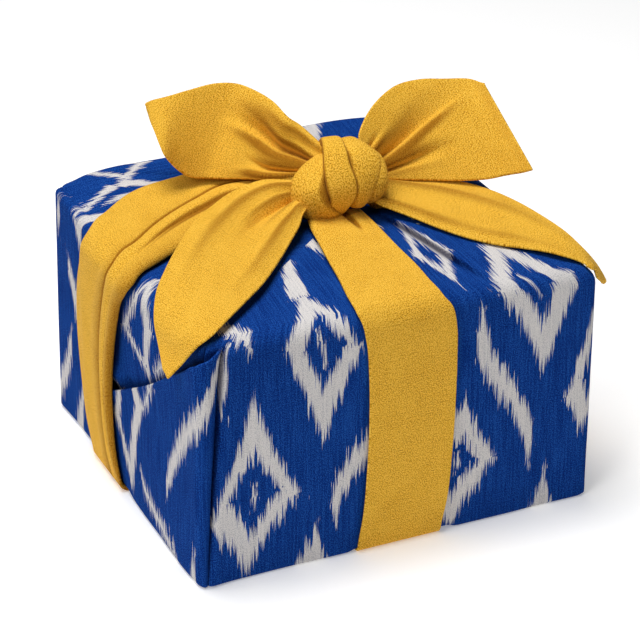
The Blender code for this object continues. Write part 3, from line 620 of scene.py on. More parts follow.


# painted shade at a fold's foot, narrower behind it, on folds over leastHeight; in the pocket over the
# flap, wider and deeper near the corner; and along the front crease
shade = dict(foldFoot=0.4, foldFront=1.9, foldBehind=0.6, leastHeight=1.8, fullHeight=0.5,
             pocketRise=1.0, pocketReach=2.2, pocketReachMore=2.0, pocketLeast=0.4,
             crease=0.9, creaseX=-0.2, creaseReach=0.9)


# painted shade on the top at a fold's foot, 0 to 1: a narrow bell along it
def topShade(x, y):
    dark = np.zeros(x.shape)
    for fold in topFolds:
        aside, ends = foldPlace(fold, x, y)
        fromFoot = aside - shade["foldFoot"]
        line = bell(fromFoot, np.where(fromFoot < 0.0, shade["foldFront"], shade["foldBehind"]))
        depth = min(max(fold.height - shade["leastHeight"], 0.0) / shade["fullHeight"], 1.0)
        dark = np.maximum(dark, line * ends * depth)
    return dark


# place along a side face from its flap's end, the same on both sides, and how near the flap's
# corner that is: a bell of the distance
def sidePlace(plan):
    y = np.where(plan[..., 0] < 0.0, plan[..., 1], -plan[..., 1])
    return y, bell(np.maximum(y - flap["cornerY"], 0.0), flap["cornerReach"])


# painted shade on a side: over the flap's edge, most near the corner, and along the front crease
def sideShade(plan, z):
    edgeZ, strength, along, onSide = flapState(plan)
    nearCorner = sidePlace(plan)[1]
    reach = shade["pocketReach"] + shade["pocketReachMore"] * nearCorner
    most = shade["pocketLeast"] + (1.0 - shade["pocketLeast"]) * nearCorner
    pocket = bell(z - edgeZ - shade["pocketRise"], reach) * strength * most
    fade = ramp(flap["creaseTopZ"] - z, 0.0, flap["creaseFade"])
    crease = bell(along - flap["creaseTopX"] - shade["creaseX"], shade["creaseReach"]) * (1.0 - onSide) * fade
    return np.maximum(pocket, shade["crease"] * crease)


# height of the wrap's top over its flat level: a crown, and folds drawn in towards the knot,
# each rising over its lip on the left of its run and dying away from there
def topRelief(x, y):
    shareX = np.clip(x / wrap["halfX"], -1.0, 1.0)
    shareY = np.clip(y / wrap["halfY"], -1.0, 1.0)
    height = wrap["crown"] * (1.0 - shareX ** 2) * (1.0 - shareY ** 2)
    rise = smoothAt(column(backPuff, "x"), column(backPuff, "rise"), x)
    height = height + rise * ramp(y, *wrap["riseY"])
    for fold in topFolds:
        aside, ends = foldPlace(fold, x, y)
        lip = smoothStep(aside / fold.lip) * np.exp(-np.maximum(aside, 0.0) / fold.width)
        height = height + fold.height * lip * ends
    return height


# how far a side stands out: an arch over its length and its height
def sideBulge(alongShare, z):
    upShare = (z - wrap["bottom"]) / (wrap["top"] - wrap["bottom"])
    return wrap["faceBulge"] * (1.0 - alongShare ** 2) * np.clip(4.0 * upShare * (1.0 - upShare), 0.0, 1.0)


# how far the back stands out at x: most under its top edge, nothing at the foot
def backOut(x, z):
    return smoothAt(column(backPuff, "x"), column(backPuff, "out"), x) * ramp(z, *wrap["outZ"])


# a wave's height, its length along each of two directions, in mm per radian, and where it starts
Wave = namedtuple("Wave", "height alongA alongB phase")
waves = [Wave(0.22, 11.0, 23.0, 0.0), Wave(0.18, 17.0, -9.0, 1.7), Wave(0.15, 7.3, 31.0, 0.6)]


# slight unevenness of filled cloth: a few long slanting sine runs added up
def softWaves(a, b):
    return sum(wave.height * np.sin(a / wave.alongA + b / wave.alongB + wave.phase) for wave in waves)


# the top edge is softly rounded in front and crisper at the back
def topRadiusAt(y):
    return wrap["topRadius"] + (wrap["backRadius"] - wrap["topRadius"]) * ramp(y, *wrap["crispY"])


# where the strips run under the wrap: the half width that each holds up, and where its middle lies
under = dict(frontHalf=29.0, frontX=1.0, sideHalf=28.0, sideY=-3.5, sideSlant=-26.0, fade=6.0, sagTop=22.0)


# the foot of the wrap settles to the ground beside the strips that run under it
def sagAt(x, y, z):
    fromSide = np.abs(y - under["sideY"] - under["sideSlant"] * np.clip(x / wrap["halfX"], -1.0, 1.0))
    underFront = ramp(under["frontHalf"] - np.abs(x - under["frontX"]), 0.0, under["fade"])
    underSide = ramp(under["sideHalf"] - fromSide, 0.0, under["fade"])
    low = np.clip(1.0 - (z - wrap["bottom"]) / under["sagTop"], 0.0, 1.0)
    return wrap["sag"] * (1.0 - np.maximum(underFront, underSide)) * low


# plan points of the sharp rectangle, with the side each belongs to, closer at the corners, round the
# crease, and over denseRun before the corner, where the fold on top runs out
def outlinePoints():
    halfX, halfY = wrap["halfX"], wrap["halfY"]
    corner = np.array([0.0, 1.2, 2.4, 3.6, 4.8, 6.0])
    crease = halfX + flap["creaseTopX"]
    nearCrease = crease + np.array([-4.0, -2.4, -1.4, -0.9, -0.5, -0.2, 0.1, 0.5, 1.0, 1.7, 2.6, 4.0])
    countX = int(2.0 * halfX / wrap["spacing"])
    countY = int(2.0 * halfY / wrap["spacing"])
    denseRun, denseCount = 52.0, 48
    dense = 2.0 * halfX - denseRun
    lastCorner = corner[1:5][::-1]
    fromCrease = np.linspace(crease + 5.8, dense, int(countX * 0.65))
    toCorner = np.linspace(dense + 0.95, 2.0 * halfX - 6.0, denseCount)
    front = np.concatenate((corner, nearCrease, fromCrease, toCorner, 2.0 * halfX - lastCorner))
    side = np.concatenate((corner, np.linspace(7.8, 2.0 * halfY - 6.0, countY - 6), 2.0 * halfY - lastCorner))
    frontPoints = np.column_stack((front - halfX, np.full_like(front, -halfY)))
    rightPoints = np.column_stack((np.full_like(side, halfX), side - halfY))
    plan = np.concatenate((frontPoints, rightPoints, -frontPoints, -rightPoints))
    sides = np.repeat(np.arange(4), [len(front), len(side), len(front), len(side)])
    return plan, sides


# the rectangle's corners rounded: outward is from the inner rectangle's nearest point
def roundCorners(plan):
    inner = np.array([wrap["halfX"], wrap["halfY"]]) - wrap["cornerRadius"]
    centre = np.clip(plan, -inner, inner)
    outward = unit(plan - centre)
    return centre + wrap["cornerRadius"] * outward, outward


# front and back columns near the crease lean with it, from its top to the corner's foot
def leanCrease(plan, z):
    halfX = wrap["halfX"]
    share = np.clip(z / flap["creaseTopZ"], 0.0, 1.0)
    lean = (flap["creaseTopX"] - flap["creaseFootX"]) * (1.0 - share)
    turned = plan[..., 0] * np.sign(-plan[..., 1])
    onFace = np.abs(plan[..., 1]) >= wrap["halfY"] - 0.001
    fromCorner = np.clip((turned + halfX) / (flap["creaseTopX"] + halfX), 0.0, 1.0)
    past = smoothStep((turned - flap["creaseTopX"]) / (halfX * 0.4))
    moved = plan.copy()
    moved[..., 0] -= lean * fromCorner * (1.0 - past) * onFace * np.sign(-plan[..., 1])
    return moved


# for plan points: the flap edge's height and strength, which is nothing off the two sides; the place
# along the front or the back, from its own left; and whether they are on a side
def flapState(plan):
    isLeft = plan[..., 0] < -wrap["halfX"] + 0.001
    isRight = plan[..., 0] > wrap["halfX"] - 0.001
    y = np.where(isLeft, plan[..., 1], -plan[..., 1])
    edgeZ = smoothAt(column(flapEdge, "y"), column(flapEdge, "z"), y)
    strength = np.interp(y, column(flapEdge, "y"), column(flapEdge, "strength"))
    onSide = isLeft | isRight
    along = np.where(plan[..., 1] < 0.0, plan[..., 0], -plan[..., 0])
    return edgeZ, strength * onSide, along, onSide


# soft puffs and a dent of the side above the flap: how far each stands out, its middle and its reach
SidePuff = namedtuple("SidePuff", "out y z reachY reachZ")
sidePuffs = [
    SidePuff(3.0, 10.0, 62.0, 9.0, 7.0),
    SidePuff(-2.4, -4.0, 61.0, 5.0, 5.0),
    SidePuff(1.6, -24.0, 96.0, 22.0, 20.0),
]


# uneven waves of a side, died away over the last share of it at each end
def sideWaves(plan, z, alongShare):
    ends = smoothStep((1.0 - np.abs(alongShare)) / wrap["waveEnds"])
    return softWaves(plan[..., 0] + plan[..., 1], z) * ends


# how far the front stands out near its crease: a quarter-round step up out of the crease, and a
# low ridge, a bell, beside it
def creaseOffset(along, z):
    fromCrease = along - flap["creaseTopX"]
    inStep = np.clip((fromCrease - flap["stepFrom"]) / flap["stepRun"], 0.0, 1.0)
    step = np.sqrt(np.clip(1.0 - (1.0 - inStep) ** 2, 0.0, 1.0))
    fade = ramp(flap["creaseTopZ"] - z, 0.0, flap["creaseFade"])
    ridge = flap["ridge"] * bell(fromCrease - flap["ridgeX"], flap["ridgeReach"])
    ridge = ridge * (fromCrease > flap["stepFrom"])
    return (ridge - flap["creaseDepth"] * (1.0 - step)) * fade


# how far the wrap's side stands out of its rounded rectangle: pressed in over the flap's edge, its
# puffs, the crease, its arch, its waves, and a little more at the far end and at the back
def sideOffset(plan, z):
    edgeZ, strength, along, onSide = flapState(plan)
    above = np.maximum(z - edgeZ, 0.0)
    y, nearCorner = sidePlace(plan)
    depth = (flap["recess"] + flap["recessAtCorner"] * nearCorner) * np.exp(
        -above / (flap["recessReach"] - flap["reachAtCorner"] * nearCorner))
    covered = ramp(edgeZ - z, *flap["coveredRun"])
    offset = flap["bodyUnder"] * covered - depth * (1.0 - covered)
    for puff in sidePuffs:
        height = puff.out * bell(y - puff.y, puff.reachY) * bell(z - puff.z, puff.reachZ)
        offset = offset + height * (above > 0.0)
    offset = offset * strength + creaseOffset(along, z) * (1.0 - onSide)
    alongShare = np.where(onSide, plan[..., 1] / wrap["halfY"], plan[..., 0] / wrap["halfX"])
    far = flap["farStand"] * ramp(y, *flap["farY"]) * onSide
    backLeft = ramp(-plan[..., 0], *flap["leanX"]) * ramp(plan[..., 1], *flap["leanY"])
    far = far + flap["lean"] * backLeft * (flap["leanTop"] - z) / flap["leanRun"]
    atBack = (plan[..., 1] > wrap["halfY"] - 0.001) * backOut(plan[..., 0], z)
    return offset + sideBulge(alongShare, z) + sideWaves(plan, z, alongShare) + far + atBack


# a point of the side at height z; on an edge's arc it is drawn in by inset, and stands out less
def sidePoints(plan, z, inset, radius):
    leaned = leanCrease(plan, z)
    rounded, outward = roundCorners(leaned)
    shrink = 1.0 - inset[..., None] / np.array([wrap["halfX"], wrap["halfY"]])
    out = sideOffset(plan, z) * (1.0 - inset / radius)
    spots = rounded * shrink + outward * out[..., None]
    return np.concatenate((spots, (z - sagAt(spots[..., 0], spots[..., 1], z))[..., None]), -1)


# rings of the underside: a shallow square recess where the two strips cross, then flat to the edge
def undersideRings(plan, rounded, halves):
    square = np.clip(plan, -wrap["halfY"], wrap["halfY"]) / wrap["halfY"]
    centre = np.array([wrap["recessX"], wrap["recessY"]])
    flat = rounded * (1.0 - wrap["bottomRadius"] / halves)
    foot = square * (wrap["recessHalf"] + wrap["recessSlope"]) + centre
    recess = square * wrap["recessHalf"]
    spots = [(recess * share + centre, wrap["recessRise"]) for share in (0.05, 0.3, 0.65, 1.0)]
    spots += [(foot + (flat - foot) * share, 0.0) for share in (0.0, 0.2, 0.4, 0.6, 0.8, 1.0)]
    rings, warp = [], []
    for spot, rise in spots:
        z = np.full(len(plan), wrap["bottom"] + rise)
        rings.append(np.column_stack((spot, z - sagAt(spot[:, 0], spot[:, 1], z) * (rise == 0.0))))
        warp.append(np.full(len(plan), wrap["bottom"] - wrap["halfX"] + np.abs(spot).max(1)))
    return np.array(rings), np.array(warp)


# rings of the sides, the way up each as cloth goes, and their heights: an arc, the upright face, an arc
def sideRings(plan, topR):
    low, high = wrap["bottom"] + wrap["bottomRadius"], wrap["top"] - topR
    bottomAngle = np.radians([15.0, 35.0, 55.0, 75.0])[:, None]
    topAngle = np.radians(np.linspace(0.0, 90.0, 9)[1:-1])[:, None]
    uprightShare = np.linspace(0.0, 1.0, int((wrap["top"] - low) / wrap["rowSpacing"]))[:, None]
    upright = low + (high - low) * uprightShare
    bottomZ = np.repeat(low - wrap["bottomRadius"] * np.cos(bottomAngle), len(plan), 1)
    z = np.concatenate((bottomZ, upright, high + topR * np.sin(topAngle)))
    inset = np.concatenate((np.repeat(wrap["bottomRadius"] * (1.0 - np.sin(bottomAngle)), len(plan), 1),
                            0.0 * upright, topR * (1.0 - np.cos(topAngle))))
    radius = np.where(z > wrap["midZ"], topR, wrap["bottomRadius"])
    rings = sidePoints(np.broadcast_to(plan, (*z.shape, 2)), z, inset, radius)
    return rings, np.concatenate((bottomZ, upright, high + topR * topAngle)), z


# rings of the top, from its edge straight in to the gathering point under the knot
def topRings(rounded, sides, topR, halves):
    edge = rounded * (1.0 - topR[:, None] / halves)
    gather = np.array([wrap["gatherX"], wrap["gatherY"]])
    share = np.linspace(0.0, wrap["gatherShare"], wrap["topRings"])[:, None, None]
    spots = edge[None] + (gather - edge)[None] * share
    z = wrap["top"] + topRelief(spots[..., 0], spots[..., 1])
    inFromEdge = np.clip(share[..., 0] * 6.0, 0.0, 1.0)  # the edge itself has no waves
    z = z + softWaves(spots[..., 0], spots[..., 1]) * inFromEdge
    inward = np.select([sides == 0, sides == 1, sides == 2],
                       [spots[..., 1] + halves[1], halves[0] - spots[..., 0], halves[1] - spots[..., 1]],
                       spots[..., 0] + halves[0])
    return np.concatenate((spots, z[..., None]), -1), wrap["top"] - topR * (2.0 - math.pi / 2.0) + inward


# how the pattern's chart lies on the wrap. On top it spreads a little near the edge, over edgeShare of
# pullOver, and runs on faster towards the knot; backStart is where the back's chart starts. The left
# face's runs on over the back left of the top, as far as runOnX, and faster where the cloth is
# puffed. Feathers are shorter above calmFrom on the left face, and nothing is charted on the right
# side above plainFrom, close under the knot. The grain of each side, and of the flaps, starts
# sideApart further on
chart = dict(topFrom=5.0, pullOver=100.0, pull=0.30, edgeSpread=0.087, edgeShare=0.6, backStart=300.0,
             runOnX=5.0, runOnDrop=3.4, puffedX=0.81, puffedY=1.77, calmFrom=128.0, calmFeather=0.45,
             plainFrom=178.0, plainDepth=-9.0, sideApart=1000.0, flapSide=5.0)


# cloth coordinates s and t at each face corner, in the chart of the face's own side, and that side:
# 0 front, 1 right, 2 back, 3 left
def wrapChart(spot, flatSpot, onTop, warp, side, halves):
    inTop = np.maximum(warp - wrap["top"] - chart["topFrom"], 0.0) / chart["pullOver"]
    pull = chart["pull"] * inTop
    spreadOut = 1.0 + chart["edgeSpread"] * np.clip(1.0 - inTop / chart["edgeShare"], 0.0, 1.0)
    topX = spot[:, 0] * spreadOut + (spot[:, 0] - wrap["gatherX"]) * pull
    topY = spot[:, 1] * spreadOut + (spot[:, 1] - wrap["gatherY"]) * pull
    x = np.where(onTop, topX, flatSpot[:, 0])
    y = np.where(onTop, topY, flatSpot[:, 1])
    right, back = halves[0] + halves[1] + y, chart["backStart"] - x
    s = np.select([side == 0, side == 1, side == 2], [x, right, back], -y)
    runsOn = onTop & (side == 2) & (spot[:, 0] < chart["runOnX"])
    fromEdge = spot[:, 0] + halves[0]
    puffed = (spot[:, 2] - wrap["top"] - 1.0) * ramp(fromEdge, 2.0, 14.0)
    s = np.where(runsOn, -y - chart["puffedY"] * puffed, s)
    t = np.where(runsOn, wrap["top"] - chart["runOnDrop"] + fromEdge + chart["puffedX"] * puffed, warp)
    return s, t, np.where(runsOn, 3, side)


# the wrap as one closed shell: its rings from the middle of the underside up the sides and in over
# the top, joined into quads, with a pole at each end
def makeWrapBody():
    plan, sides = outlinePoints()
    count = len(plan)
    halves = np.array([wrap["halfX"], wrap["halfY"]])
    rounded, _ = roundCorners(plan)
    topR = topRadiusAt(plan[:, 1])
    flatBelow, flatWarp = undersideRings(plan, rounded, halves)
    upright, uprightWarp, z = sideRings(plan, topR)
    top, topWarp = topRings(rounded, sides, topR, halves)
    grid = np.concatenate((flatBelow, upright, top))
    rows = len(grid)
    bottomPole = np.array([wrap["recessX"], wrap["recessY"], wrap["bottom"] + wrap["recessRise"]])
    gatherX, gatherY = wrap["gatherX"], wrap["gatherY"]
    topPole = np.array([gatherX, gatherY, wrap["top"] + float(topRelief(gatherX, gatherY))])
    points = np.concatenate((grid.reshape(-1, 3), [bottomPole, topPole]))
    quads = quadsOf(rows, count, closed=True)
    around = np.arange(count)
    nextRound = (around + 1) % count
    last = (rows - 1) * count
    bottomTris = np.stack((nextRound, around, np.full(count, rows * count)), -1)
    topTris = np.stack((last + around, last + nextRound, np.full(count, rows * count + 1)), -1)
    corners = np.concatenate((quads.ravel(), bottomTris.ravel(), topTris.ravel()))
    side = np.concatenate((np.tile(np.repeat(sides, 4), rows - 1), np.repeat(sides, 3), np.repeat(sides, 3)))
    onTop = (corners >= (rows - len(top)) * count) & (corners < rows * count)
    sharp = leanCrease(np.broadcast_to(plan, (rows, count, 2)), grid[..., 2])
    flatPlan = np.concatenate((sharp.reshape(-1, 2), points[-2:, :2]))
    warp = np.concatenate((flatWarp.ravel(), uprightWarp.ravel(), topWarp.ravel(), [-100.0, 200.0]))
    s, t, side = wrapChart(points[corners], flatPlan[corners], onTop, warp[corners], side, halves)

    def find(a, b):
        plain = (side == 1) & (b > chart["plainFrom"])
        hidden = np.where(plain, chart["plainDepth"], hiddenDepth(a, b))
        front, left = motifDepth(frontMotifs, a, b), motifDepth(panelMotifs, a, b)
        return np.select([side == 0, side == 3], [front, left], hidden)

    uv = np.column_stack((s + side * chart["sideApart"], t))
    faces = quads.tolist() + bottomTris.tolist() + topTris.tolist()
    piece = makePiece("wrapBody", points, faces, uv, wrapCotton, ["wrap_cloth"])
    chartIkat(piece, find, s, t, np.where((side == 3) & (t > chart["calmFrom"]), chart["calmFeather"], 1.0))
    # painted shade on the sides and at the folds' feet on top; none on the underside
    dark = [np.zeros((len(flatBelow), count)), sideShade(np.broadcast_to(plan, (*z.shape, 2)), z),
            topShade(top[..., 0], top[..., 1])]
    keepPaintedShade(piece, np.concatenate((np.concatenate(dark).ravel(), np.zeros(2))))
    return piece


wrapBody = makeWrapBody()
print("wrap body made")


# plan points of the flap, along the wrap's own outline from the front crease round the corner
def flapPlan():
    alongFront = np.linspace(flap["creaseTopX"] - 1.7, -wrap["halfX"] + 6.0, 6)
    roundCorner = np.array([0.0, 1.2, 2.4, 3.6, 4.8])
    front = np.concatenate((alongFront, -wrap["halfX"] + roundCorner[::-1]))
    alongSide = np.linspace(-wrap["halfY"] + 6.0, flap["lastY"], 66)
    side = np.concatenate((-wrap["halfY"] + roundCorner[1:], alongSide))
    return np.concatenate((np.column_stack((front, np.full_like(front, -wrap["halfY"]))),
                           np.column_stack((np.full_like(side, -wrap["halfX"]), side))))


# the flap: a doubled layer over the lower side face, its height from the foot to the flap's edge. It
# stands clear of the wrap, turns in at the crease, swells at its foot, and its lip is a little proud
def makeFlap(name, turned):
    plan = flapPlan()
    edgeZ, _, along, onSide = flapState(plan)
    edgeZ = np.where(onSide, edgeZ, flap["frontEdgeZ"] + flap["frontEdgeSlope"] * (along + wrap["halfX"]))
    share = 1.0 - (1.0 - np.linspace(0.0, 1.0, flap["rowCount"])[:, None]) ** flap["rowPower"]
    # its foot is near the ground, but higher where the strip turns under beside it
    foot = flap["foot"] + (flap["footAtStrip"] - flap["foot"]) * ramp(plan[:, 1], *flap["footY"])
    z = foot + (edgeZ[None] - foot) * share
    footR, topR = wrap["bottomRadius"], wrap["topRadius"]
    low = np.clip(footR - 0.6 - (z - foot), 0.0, footR)
    high = np.clip(z - (wrap["top"] - topR), 0.0, topR)
    inset = footR - np.sqrt(footR ** 2 - low ** 2) + topR - np.sqrt(topR ** 2 - high ** 2)
    leaned = leanCrease(np.broadcast_to(plan, (*z.shape, 2)), z)
    rounded, outward = roundCorners(leaned)
    alongShare = np.where(onSide, plan[:, 1] / wrap["halfY"], plan[:, 0] / wrap["halfX"])
    turnedFront = ramp(plan[:, 0] + wrap["halfX"], *flap["turnedRun"]) * ~onSide
    stand = flap["stand"] - flap["turnedIn"] * turnedFront
    intoCrease = -flap["intoCrease"] * bell(np.linalg.norm(plan - plan[0], axis=1), flap["intoReach"])
    lip = flap["lip"] * np.exp(-(edgeZ - z) / flap["lipReach"])
    swell = (flap["swell"] * bell(plan[:, 1] - flap["swellY"], flap["swellReach"])
             * np.clip(1.0 - z / flap["swellTop"], 0.0, 1.0) * onSide)
    out = stand + intoCrease + lip + sideBulge(alongShare, z) + sideWaves(plan, z, alongShare) + swell
    spots = rounded * (1.0 - inset[..., None] / np.array([wrap["halfX"], wrap["halfY"]]))
    spots = spots + outward * out[..., None]
    grid = np.concatenate((spots, z[..., None]), -1)
    points, faces, source = thickSheet(grid, flap["thickness"], flip=True)
    if turned:
        points = points * (-1.0, -1.0, 1.0)
    runS = np.where(onSide, -plan[:, 1], wrap["halfY"] + plan[:, 0] + wrap["halfX"])
    cloth = np.stack(np.broadcast_arrays(runS[None], z), -1).reshape(-1, 2)[source[faces.ravel()]]
    uv = cloth + chart["flapSide"] * chart["sideApart"]
    piece = makePiece(name, points, faces.tolist(), uv, wrapCotton, ["wrap_cloth"])
    motifs = hiddenMotifs if turned else flapMotifs
    chartIkat(piece, lambda s, t: motifDepth(motifs, s, t), *cloth.T)
    return piece


flapLeft = makeFlap("flapLeft", turned=False)
makeFlap("flapRight", turned=True)  # the same one, turned half round
print("flaps made")


# the sash strips' rows. leg: 0 knot, 1 top edge, 2 bottom edge, 3 far bottom edge, 4 far top edge,
# 5 knot again; then where the strip's low edge, its three creases and its high edge lie, its lift
# off the wrap, the height of the four rolls between them, and how high each crease's bottom stands
StripRow = namedtuple(
    "StripRow", "leg low crease1 crease2 crease3 high lift roll1 roll2 roll3 roll4 dip1 dip2 dip3",
    defaults=(0.0,) * 7)
sash = dict(thickness=1.3, gap=0.35, besideGap=0.35, overGap=0.5, flapRamp=9.0, crossingHalf=23.0,
            crossingRamp=6.0, crossingGap=0.45, spacing=1.9, rollSteps=22, power=3.0, arcSteps=10,
            shadeReach=6.0, shadeSteep=(0.26, 0.72), creaseFall=1.6, edgeFall=1.2, shadeOnTop=0.35)
# walls: how steep each roll's two sides are, 0.5 upright and 2 a soft valley
frontBack = dict(name="sashFrontBack", node="sash_front_back", start=-5.0, end=14.0, alongX=False,
                 creaseShade=0.0, edgeShade=0.0, overFlap=0.0, beside=0.0,
                 radii=(wrap["topRadius"], wrap["backRadius"]),
                 walls=((0.5, 2.0), (2.0, 2.0), (2.0, 2.0), (2.0, 0.5)), flat=(0.046, 0.62), rows=[
    StripRow(0.00, -6.0, 2.0, 11.0, 18.5, 21.0, 1.0, 2.2, 2.2, 2.0, 1.2, 2.1, 0.0, 1.5),
    StripRow(0.10, -8.5, 2.0, 11.5, 18.5, 21.0, 1.2, 2.0, 2.0, 1.8, 1.0, 1.9, 0.2, 1.3),
    StripRow(0.25, -11.0, 3.5, 12.0, 17.5, 21.0, 1.0, 0.9, 1.0, 0.9, 0.7, 0.9, 0.6, 0.7),
    StripRow(0.42, -13.8, 5.5, 11.5, 16.5, 20.8, 0.6, 0.4, 0.4, 0.4, 0.4, 0.3, 0.4, 0.4),
    StripRow(0.65, -17.3, 3.5, 10.5, 16.0, 20.9, 0.4, 0.2, 0.2, 0.2, 0.2, 0.2, 0.2, 0.2),
    StripRow(0.85, -20.8, 2.5, 10.0, 15.5, 20.3, 0.3),
    StripRow(0.97, -21.8, 2.5, 10.0, 16.0, 21.0, 0.2),
    StripRow(1.04, -20.6, 2.5, 11.0, 18.0, 23.8, 0.1),
    StripRow(1.12, -19.0, 3.0, 12.0, 19.0, 25.4, 0.1),
    StripRow(1.23, -18.2, 3.5, 12.0, 19.0, 25.6, 0.1),
    StripRow(1.45, -18.0, 3.5, 12.0, 19.0, 25.1, 0.1),
    StripRow(1.66, -18.9, 3.0, 11.5, 18.0, 24.1, 0.1),
    StripRow(1.85, -20.5, 1.5, 10.0, 16.5, 22.4, 0.1),
    StripRow(2.00, -23.0, 0.0, 8.0, 14.0, 19.5, 0.0),
    StripRow(2.20, -21.5, 0.0, 8.0, 15.0, 21.5, 0.0),
    StripRow(3.00, -21.5, 0.0, 8.0, 15.0, 21.5, 0.0),
    StripRow(3.50, -19.0, 3.0, 11.0, 18.0, 25.0, 0.1),
    StripRow(4.00, -16.0, 6.0, 14.0, 21.0, 28.0, 0.1, 0.3, 0.3, 0.3, 0.3, 0.2, 0.2, 0.2),
    StripRow(4.50, -5.0, 9.0, 15.0, 22.0, 29.0, 1.0, 1.4, 1.5, 1.4, 1.0, 0.4, 0.6, 0.4),
    StripRow(4.85, 5.0, 13.0, 17.0, 22.0, 27.0, 4.0, 1.8, 2.0, 1.8, 1.5, 0.4, 0.6, 0.4),
    StripRow(5.00, 8.0, 14.0, 17.0, 21.0, 26.0, 6.0, 1.8, 2.0, 1.8, 1.5, 0.4, 0.6, 0.4),
])
leftRight = dict(name="sashLeftRight", node="sash_left_right", start=2.0, end=28.0, alongX=True,
                 creaseShade=1.0, edgeShade=0.9, overFlap=2.0, beside=0.5,
                 radii=(wrap["topRadius"], wrap["topRadius"]),
                 walls=((0.5, 2.0), (2.0, 0.5), (1.5, 1.6), (1.6, 0.6)), flat=(0.062, 0.62), rows=[
    StripRow(0.00, 2.0, 7.0, 10.0, 13.0, 16.0, 6.0, 1.6, 2.4, 1.2, 1.5, 0.8, 0.0, 1.3),
    StripRow(0.15, 8.0, 25.0, 36.0, 42.0, 48.0, 4.5, 2.2, 3.2, 1.6, 1.8, 0.7, 0.0, 1.4),
    StripRow(0.30, 9.0, 33.0, 43.6, 52.0, 63.0, 2.6, 2.4, 3.4, 1.6, 1.9, 0.8, 0.0, 1.5),
    StripRow(0.49, 6.5, 26.5, 36.8, 46.0, 64.5, 1.4, 2.6, 3.5, 1.6, 2.0, 1.0, 0.0, 1.6),
    StripRow(0.74, -4.5, 12.0, 22.0, 33.0, 60.0, 0.6, 2.8, 3.4, 1.6, 2.1, 1.6, 0.0, 1.6),
    StripRow(0.92, -14.0, -2.5, 7.2, 18.0, 47.5, 0.3, 2.8, 3.2, 1.7, 2.2, 2.3, 0.0, 1.6),
    StripRow(1.03, -18.5, -8.0, 1.6, 11.5, 40.5, 0.2, 2.8, 3.0, 1.8, 2.3, 2.5, 0.0, 1.6),
    StripRow(1.12, -10.0, -3.0, 5.4, 17.5, 46.5, 0.1, 2.7, 2.9, 1.9, 2.3, 2.5, 0.0, 1.6),
    StripRow(1.23, -4.3, 1.5, 9.8, 23.0, 52.0, 0.1, 2.7, 2.8, 1.9, 2.3, 2.5, 0.0, 1.5),
    StripRow(1.36, 0.5, 5.8, 13.0, 26.5, 55.0, 0.1, 2.7, 2.8, 1.9, 2.2, 2.5, 0.0, 1.4),
    StripRow(1.49, 4.2, 8.8, 14.4, 28.0, 55.7, 0.1, 2.6, 2.7, 1.8, 2.1, 2.4, 0.0, 1.4),
    StripRow(1.63, 6.6, 10.2, 15.0, 28.0, 54.3, 0.1, 2.4, 2.5, 1.7, 1.9, 2.2, 0.0, 1.3),
    StripRow(1.77, 6.6, 10.2, 15.0, 27.0, 52.5, 0.1, 2.0, 2.1, 1.4, 1.5, 1.8, 0.0, 1.1),
    StripRow(1.90, 4.0, 8.5, 13.4, 24.5, 50.0, 0.1, 1.2, 1.3, 0.9, 0.8, 1.1, 0.0, 0.5),
    StripRow(1.98, 0.5, 8.0, 12.0, 26.0, 46.0, 0.0),
    StripRow(2.50, -23.0, -12.0, -6.0, 5.0, 19.0, 0.0),
    StripRow(3.03, -51.0, -40.0, -34.0, -22.0, -9.0, 0.0),
    StripRow(3.50, -60.0, -48.0, -42.0, -30.0, -16.0, 0.1, 1.4, 1.4, 1.2, 1.2, 1.4, 0.0, 0.5),
    StripRow(4.00, -65.0, -54.0, -48.0, -36.0, -23.0, 0.1, 1.2, 1.2, 1.0, 1.0, 1.2, 0.0, 0.5),
    StripRow(4.50, -37.0, -30.0, -24.0, -17.0, -9.0, 0.3, 1.2, 1.4, 1.2, 1.0, 1.0, 0.0, 0.5),
    StripRow(4.78, -19.0, -15.0, -11.0, -6.0, -1.0, 0.8, 1.0, 1.1, 1.0, 0.9, 0.7, 0.0, 0.4),
    StripRow(5.00, -2.5, -0.5, 1.5, 3.5, 6.0, 1.4, 0.8, 0.9, 0.8, 0.8, 0.5, 0.0, 0.4),
])


# shares of a leg: close stations on the arcs at its ends (sharp corner less the tangent), and even
# ones between
def legShares(length, firstRadius, lastRadius):
    arc = 1.0 - np.tan(np.radians(np.linspace(45.0, 0.0, sash["arcSteps"])))
    first = arc[1:] * firstRadius / length if firstRadius else np.array([0.0])
    last = 1.0 - arc[1:][::-1] * lastRadius / length if lastRadius else np.array([1.0])
    steps = int((last[0] - first[-1]) * length / sash["spacing"])
    return np.concatenate((first, np.linspace(first[-1], last[0], steps + 1)[1:-1], last))


# stations of a strip: its leg place, and the run and height of its sharp path there
def stripPath(half, start, end, radii):
    top, bottom, lowR = wrap["top"], wrap["bottom"], wrap["bottomRadius"]
    height = top - bottom
    legs = [
        (legShares(half + start, 0.0, radii[0]), (start, top), (-half, top)),
        (legShares(height, radii[0], lowR), (-half, top), (-half, bottom)),
        (legShares(2.0 * half, lowR, lowR), (-half, bottom), (half, bottom)),
        (legShares(height, lowR, radii[1]), (half, bottom), (half, top)),
        (legShares(half - end, radii[1], 0.0), (half, top), (end, top)),
    ]
    place = np.concatenate([leg + shares for leg, (shares, _, _) in enumerate(legs)])
    run = np.concatenate([a[0] + (b[0] - a[0]) * shares for shares, a, b in legs])
    rise = np.concatenate([a[1] + (b[1] - a[1]) * shares for shares, a, b in legs])
    return place, run, rise


